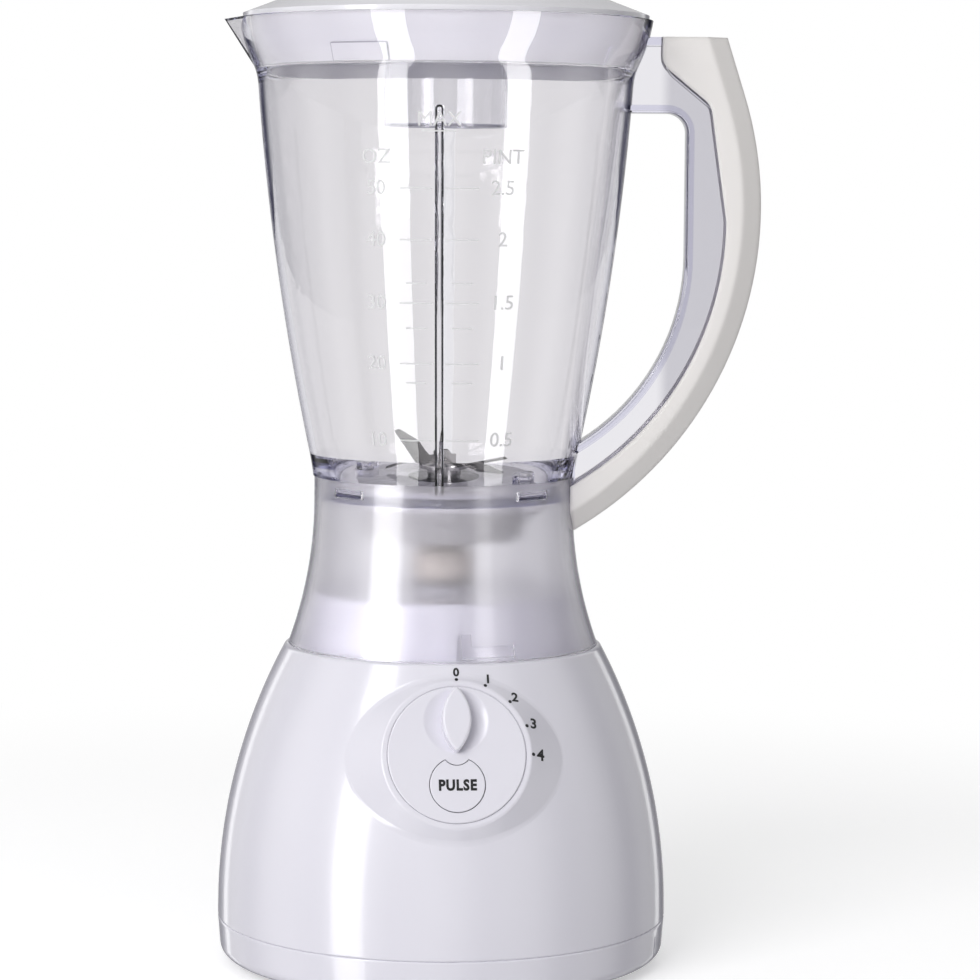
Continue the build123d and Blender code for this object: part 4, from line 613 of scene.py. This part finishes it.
def dial_print():
    """Dots and numbers round the dial, printed on the base."""
    base = surface_of("base_housing")
    shapes = []
    for step, number in enumerate(DIAL_NUMBERS):
        turn = math.radians(DIAL_START - DIAL_STEP * step)
        across, up = math.cos(turn), math.sin(turn)
        mark = dot(DOT_RADIUS, PRINT_DEPTH)
        shapes.append(on_dial(mark, DOT_RING * across, DOT_RING * up, base, PRINT_LIFT))
        figure = lettering(number, NUMBER_HEIGHT + NUMBER_GROWTH * step, NUMBER_WEIGHT, PRINT_DEPTH)
        shapes.append(on_dial(figure, NUMBER_RING * across, NUMBER_RING * up, base, PRINT_LIFT))
    return piece("dial_print", shapes, "base", INK)


SEAT_INNER = 27.26 * MM
SEAT_OUTER = 27.5 * MM
SEAT_DROP = 0.3 * MM
SEAT_DEPTH = 0.8 * MM


def dial_seat():
    """Lip of the base in the gap round the dial, just below the panel's face."""
    seat = ring(SEAT_INNER, SEAT_OUTER, SEAT_DEPTH)
    beside = DIAL_CENTRE + DIAL_RIGHT * (SEAT_OUTER + SEAT_DEPTH)
    face = surface_of("base_housing").ray_cast(beside + DIAL_OUT * DIAL_FAR, -DIAL_OUT)[0]
    level = (face - DIAL_CENTRE).dot(DIAL_OUT) - SEAT_DROP
    for vert in seat.verts:
        flat = DIAL_CENTRE + DIAL_RIGHT * vert.co.x + DIAL_UP * vert.co.y
        vert.co = flat + DIAL_OUT * (level + vert.co.z)
    return piece("dial_seat", [seat], "base", FINISHES["white_plastic"])


WORD_HEIGHT = 4.0 * MM
WORD_WIDTH = 14.9 * MM
WORD_SPACING = 1.14
WORD_WEIGHT = 0.26 * MM
WORD_DROP = 12.4 * MM


def pulse_print():
    """Word on the pulse button, drawn to a width."""
    word = lettering("PULSE", WORD_HEIGHT, WORD_WEIGHT, PRINT_DEPTH, WORD_SPACING)
    ends = [vert.co.x for vert in word.verts]
    narrow = WORD_WIDTH / (max(ends) - min(ends))
    bmesh.ops.scale(word, vec=(narrow, 1.0, 1.0), verts=word.verts)
    on_dial(word, 0.0, -WORD_DROP, surface_of("pulse_button"), PRINT_LIFT)
    return piece("pulse_print", [word], "pulse", INK)


# Levels of the scale above the table, ways round the wall from its front
SCALE_LEVELS = (319.0 * MM, 299.0 * MM, 274.3 * MM, 250.4 * MM, 219.8 * MM)
OUNCES = ("50", "40", "30", "20", "10")
PINTS = ("2.5", "2", "1.5", "1", "0.5")
HALF_LEVELS = (282.1 * MM, 264.4 * MM, 242.8 * MM)
HEADING_LEVEL = 331.0 * MM
TOP_LEVEL = 345.5 * MM
TOP_LINE_DROP = 4.4 * MM
COLUMN = 25.2 * MM
TICK_AT = 9.0 * MM
TICK_LENGTH = 13.0 * MM
HALF_TICK_LENGTH = 8.0 * MM
TICK_WIDTH = 0.55 * MM
FIGURE_HEIGHT = 5.6 * MM
RAISE = 0.4 * MM
SINK = 0.05 * MM


def jar_scale():
    """Raised ounce and pint scale on the jar's front wall."""
    jar = surface_of("jar_body")
    shapes = []

    def add(shape, around, level):
        shapes.append(on_jar(shape, around, level, jar, -SINK))

    for side, heading, figures in ((-1, "OZ", OUNCES), (1, "PINT", PINTS)):
        add(lettering(heading, FIGURE_HEIGHT, 0.0, RAISE), side * COLUMN, HEADING_LEVEL)
        for level, figure in zip(SCALE_LEVELS, figures):
            add(lettering(figure, FIGURE_HEIGHT, 0.0, RAISE), side * COLUMN, level)
            add(bar(TICK_LENGTH, TICK_WIDTH, RAISE), side * TICK_AT, level)
        for level in HALF_LEVELS:
            add(bar(HALF_TICK_LENGTH, TICK_WIDTH, RAISE), side * TICK_AT, level)
    add(lettering("MAX", FIGURE_HEIGHT, 0.0, RAISE), 0.0, TOP_LEVEL)
    add(bar(TICK_LENGTH, TICK_WIDTH, RAISE), 0.0, TOP_LEVEL - TOP_LINE_DROP)
    return piece("jar_scale", shapes, "jar", RAISED)


dial_seat()
dial_print()
pulse_print()
jar_scale()


def aim(position, target, roll=0.0):
    """Matrix of a lamp or camera that looks from a place to another."""
    forward = (target - position).normalized()
    right = forward.cross(Vector((0, 0, 1))).normalized()
    up = right.cross(forward)
    turned_right = right * math.cos(roll) + up * math.sin(roll)
    turned_up = up * math.cos(roll) - right * math.sin(roll)
    axes = Matrix((turned_right, turned_up, -forward)).transposed()
    return Matrix.Translation(position) @ axes.to_4x4()


def softbox(name, bearing, distance, height, width, length, radiance, mirrored, shown_in=None):
    """Soft lamp of a given brightness, placed by its bearing from the dial's side.

    A mirrored lamp only shows as a highlight and the others only light matt surfaces, of some nodes
    alone where they are named.
    """
    turn = math.radians(bearing - 90)
    lamp = bpy.data.lights.new(name, "AREA")
    lamp.shape = "RECTANGLE"
    lamp.size = width
    lamp.size_y = length
    lamp.energy = radiance * math.pi * width * length
    holder = bpy.data.objects.new(name, lamp)
    bpy.context.scene.collection.objects.link(holder)
    place = Vector((distance * math.cos(turn), distance * math.sin(turn), height))
    holder.matrix_world = aim(place, Vector((0, 0, LOOK_LEVEL)))
    holder.visible_camera = False
    holder.visible_diffuse = not mirrored
    holder.visible_glossy = mirrored
    holder.visible_transmission = mirrored
    if shown_in:
        holder.light_linking.receiver_collection = bpy.data.collections.new(name)
        for node in shown_in:
            holder.light_linking.receiver_collection.objects.link(NODES[node])


CAMERA_BEARING = math.radians(-4.1)
CAMERA_DISTANCE = 1.340
CAMERA_HEIGHT = 0.32025
CAMERA_PITCH = math.radians(5.332)
CAMERA_YAW = math.radians(0.818)
CAMERA_HEADING = CAMERA_YAW - CAMERA_BEARING
CAMERA_ROLL = math.radians(0.419)
CAMERA_FOCUS = 3263.4               # focal length in pixels of a 980-pixel frame
FRAME_PIXELS = 980
FILM_WIDTH = 36.0                   # in millimetres

WHITE = (1.0, 1.0, 1.0, 1.0)
LOOK_LEVEL = 0.2                    # height that the lamps face
KEY_RADIANCE = 6.0                  # lamp brightness, where the white surround is 1
TOP_RADIANCE = 0.7
STRIP_RADIANCE = 4.8
JAR_RADIANCE = 7.0
SKIRT_RADIANCE = 9.0
SKIRT_RIGHT_RADIANCE = 3.0
RIM_RADIANCE = 1.2
JAR_FLOOR_RADIANCE = 3.2
SHELL_NODES = ("base_housing", "bottom_cover", "speed_knob", "pulse_button", "lid", "handle_cover")
CLEAR_NODES = ("jar_body", "measuring_cap")
SKIRT_NODES = ("jar_skirt",)
FLOOR_NODES = ("blade_carrier", "bearing_housing", "blade_seal")
AMBIENT = 0.39                      # surround's light on matt surfaces
MIRRORED = 0.55                     # surround's level in glossy reflections
PANEL_COUNT = 8                     # dark panels that draw the edges of clear pieces
PANEL_SHARP = 1.5
PANEL_DARK = (0.05, 0.05, 0.09)
PANEL_REACH = 5                     # clear faces through which a panel still shows
PAPER_HALF = 6.0                    # half of the paper's side, in metres
PAPER_TINT = (0.82, 0.82, 0.825, 1.0)
FLOOR_NEAR = 0.30                   # distance from the axis where the shadow begins to fade
FLOOR_FAR = 0.70                    # and where it is gone
FLOOR_GLOW = 0.42                   # paper's own light to the eye
LIGHT_BOUNCES = 24                  # light that clear pieces pass on
MIRROR_BOUNCES = 12


def studio_floor():
    """White paper that keeps the shadow near the object and is plain white further out."""
    sheet = bmesh.new()
    bmesh.ops.create_grid(sheet, x_segments=1, y_segments=1, size=PAPER_HALF)
    mesh = bpy.data.meshes.new("studio_floor")
    sheet.to_mesh(mesh)
    sheet.free()
    paper = Finish("studio_paper")
    camera, mirror, clear = paper.sight()
    seen = camera + mirror + clear
    away = paper.ramp(paper.reach(), FLOOR_NEAR, FLOOR_FAR)
    shade = paper.node("ShaderNodeBsdfDiffuse", None, {"Color": PAPER_TINT})
    glow = paper.node("ShaderNodeEmission", None, {"Color": WHITE, "Strength": FLOOR_GLOW * seen})
    near = paper.node("ShaderNodeAddShader", None, {0: shade, 1: glow})
    white = paper.node("ShaderNodeEmission", None, {"Color": WHITE, "Strength": 1.0})
    paper.node_output(paper.node("ShaderNodeMixShader", None, {0: seen * away, 1: near, 2: white}))
    mesh.materials.append(paper.material)
    floor = bpy.data.objects.new("studio_floor", mesh)
    bpy.context.scene.collection.objects.link(floor)
    floor.visible_glossy = False


def studio_surround():
    """White all round to the eye; clear and glossy pieces also see narrow dark panels in it."""
    world = bpy.data.worlds.new("studio_surround")
    bpy.context.scene.world = world
    world.use_nodes = True
    room = Finish("studio_room", world.node_tree)
    camera, mirror, clear = room.sight()
    look = room.node("ShaderNodeTexCoord", output=0)
    across = room.node("ShaderNodeSeparateXYZ", None, {0: look}, output=0)
    along = room.node("ShaderNodeSeparateXYZ", None, {0: look}, output=1)
    bearing = room.node("ShaderNodeMath", {"operation": "ARCTAN2"}, {0: across, 1: along})
    turn = PANEL_COUNT * (bearing - CAMERA_HEADING)
    wave = room.node("ShaderNodeMath", {"operation": "COSINE"}, {0: turn})
    panel = room.node("ShaderNodeMath", {"operation": "POWER"}, {0: 0.5 - 0.5 * wave, 1: PANEL_SHARP})
    hidden = 1.0 - camera - mirror - clear
    strength = camera + clear + MIRRORED * mirror + AMBIENT * hidden
    faces = room.node("ShaderNodeLightPath", output="Transmission Depth")
    within_reach = faces.apply("LESS_THAN", faces, PANEL_REACH + 0.5)
    shown = panel * (clear + mirror) * within_reach
    colour = room.blend(shown, (1.0, 1.0, 1.0), PANEL_DARK)
    back = room.node("ShaderNodeBackground", None, {"Color": colour, "Strength": strength})
    room.world_output(back)


def studio():
    """Soft lamps, white paper and a white surround.

    A lamp's bearing is in degrees, and its distance, height, width and length are in metres.
    """
    softbox("key_panel", -33, 1.6, 0.85, 1.1, 0.9, KEY_RADIANCE, False)
    softbox("top_panel", 0, 0.1, 1.5, 1.3, 1.1, TOP_RADIANCE, False)
    softbox("left_strip", -51, 1.25, 0.47, 0.42, 2.25, STRIP_RADIANCE, True, SHELL_NODES)
    softbox("right_rim", 140, 1.3, 0.2, 0.16, 1.7, RIM_RADIANCE, True, SHELL_NODES)
    softbox("left_rim", -146, 1.3, 0.2, 0.16, 1.7, RIM_RADIANCE, True, SHELL_NODES)
    softbox("jar_left_strip", -36, 1.25, -0.1, 0.42, 1.5, JAR_RADIANCE, True, CLEAR_NODES)
    softbox("jar_right_strip", 40, 1.25, -0.1, 0.36, 1.5, JAR_RADIANCE, True, CLEAR_NODES)
    softbox("skirt_left_strip", -53, 1.25, 0.3, 0.6, 1.4, SKIRT_RADIANCE, True, SKIRT_NODES)
    softbox("skirt_right_strip", 30, 1.25, 0.3, 0.3, 1.4, SKIRT_RIGHT_RADIANCE, True, SKIRT_NODES)
    softbox("jar_floor_panel", -20, 1.1, 1.3, 0.8, 0.8, JAR_FLOOR_RADIANCE, False, FLOOR_NODES)
    studio_floor()
    studio_surround()


def photo_camera():
    """Camera at the photograph's viewpoint."""
    place = Vector((math.sin(CAMERA_BEARING), -math.cos(CAMERA_BEARING), 0.0)) * CAMERA_DISTANCE
    place.z = CAMERA_HEIGHT
    ahead = Vector((math.sin(CAMERA_HEADING), math.cos(CAMERA_HEADING), -math.tan(CAMERA_PITCH)))
    lens = bpy.data.cameras.new("photo_camera")
    lens.sensor_width = FILM_WIDTH
    lens.lens = CAMERA_FOCUS * FILM_WIDTH / FRAME_PIXELS
    holder = bpy.data.objects.new("photo_camera", lens)
    bpy.context.scene.collection.objects.link(holder)
    holder.matrix_world = aim(place, place + ahead, CAMERA_ROLL)
    bpy.context.scene.camera = holder


studio()
photo_camera()
bpy.context.scene.view_settings.view_transform = "Standard"
bpy.context.scene.cycles.max_bounces = LIGHT_BOUNCES
bpy.context.scene.cycles.transmission_bounces = LIGHT_BOUNCES
bpy.context.scene.cycles.glossy_bounces = MIRROR_BOUNCES
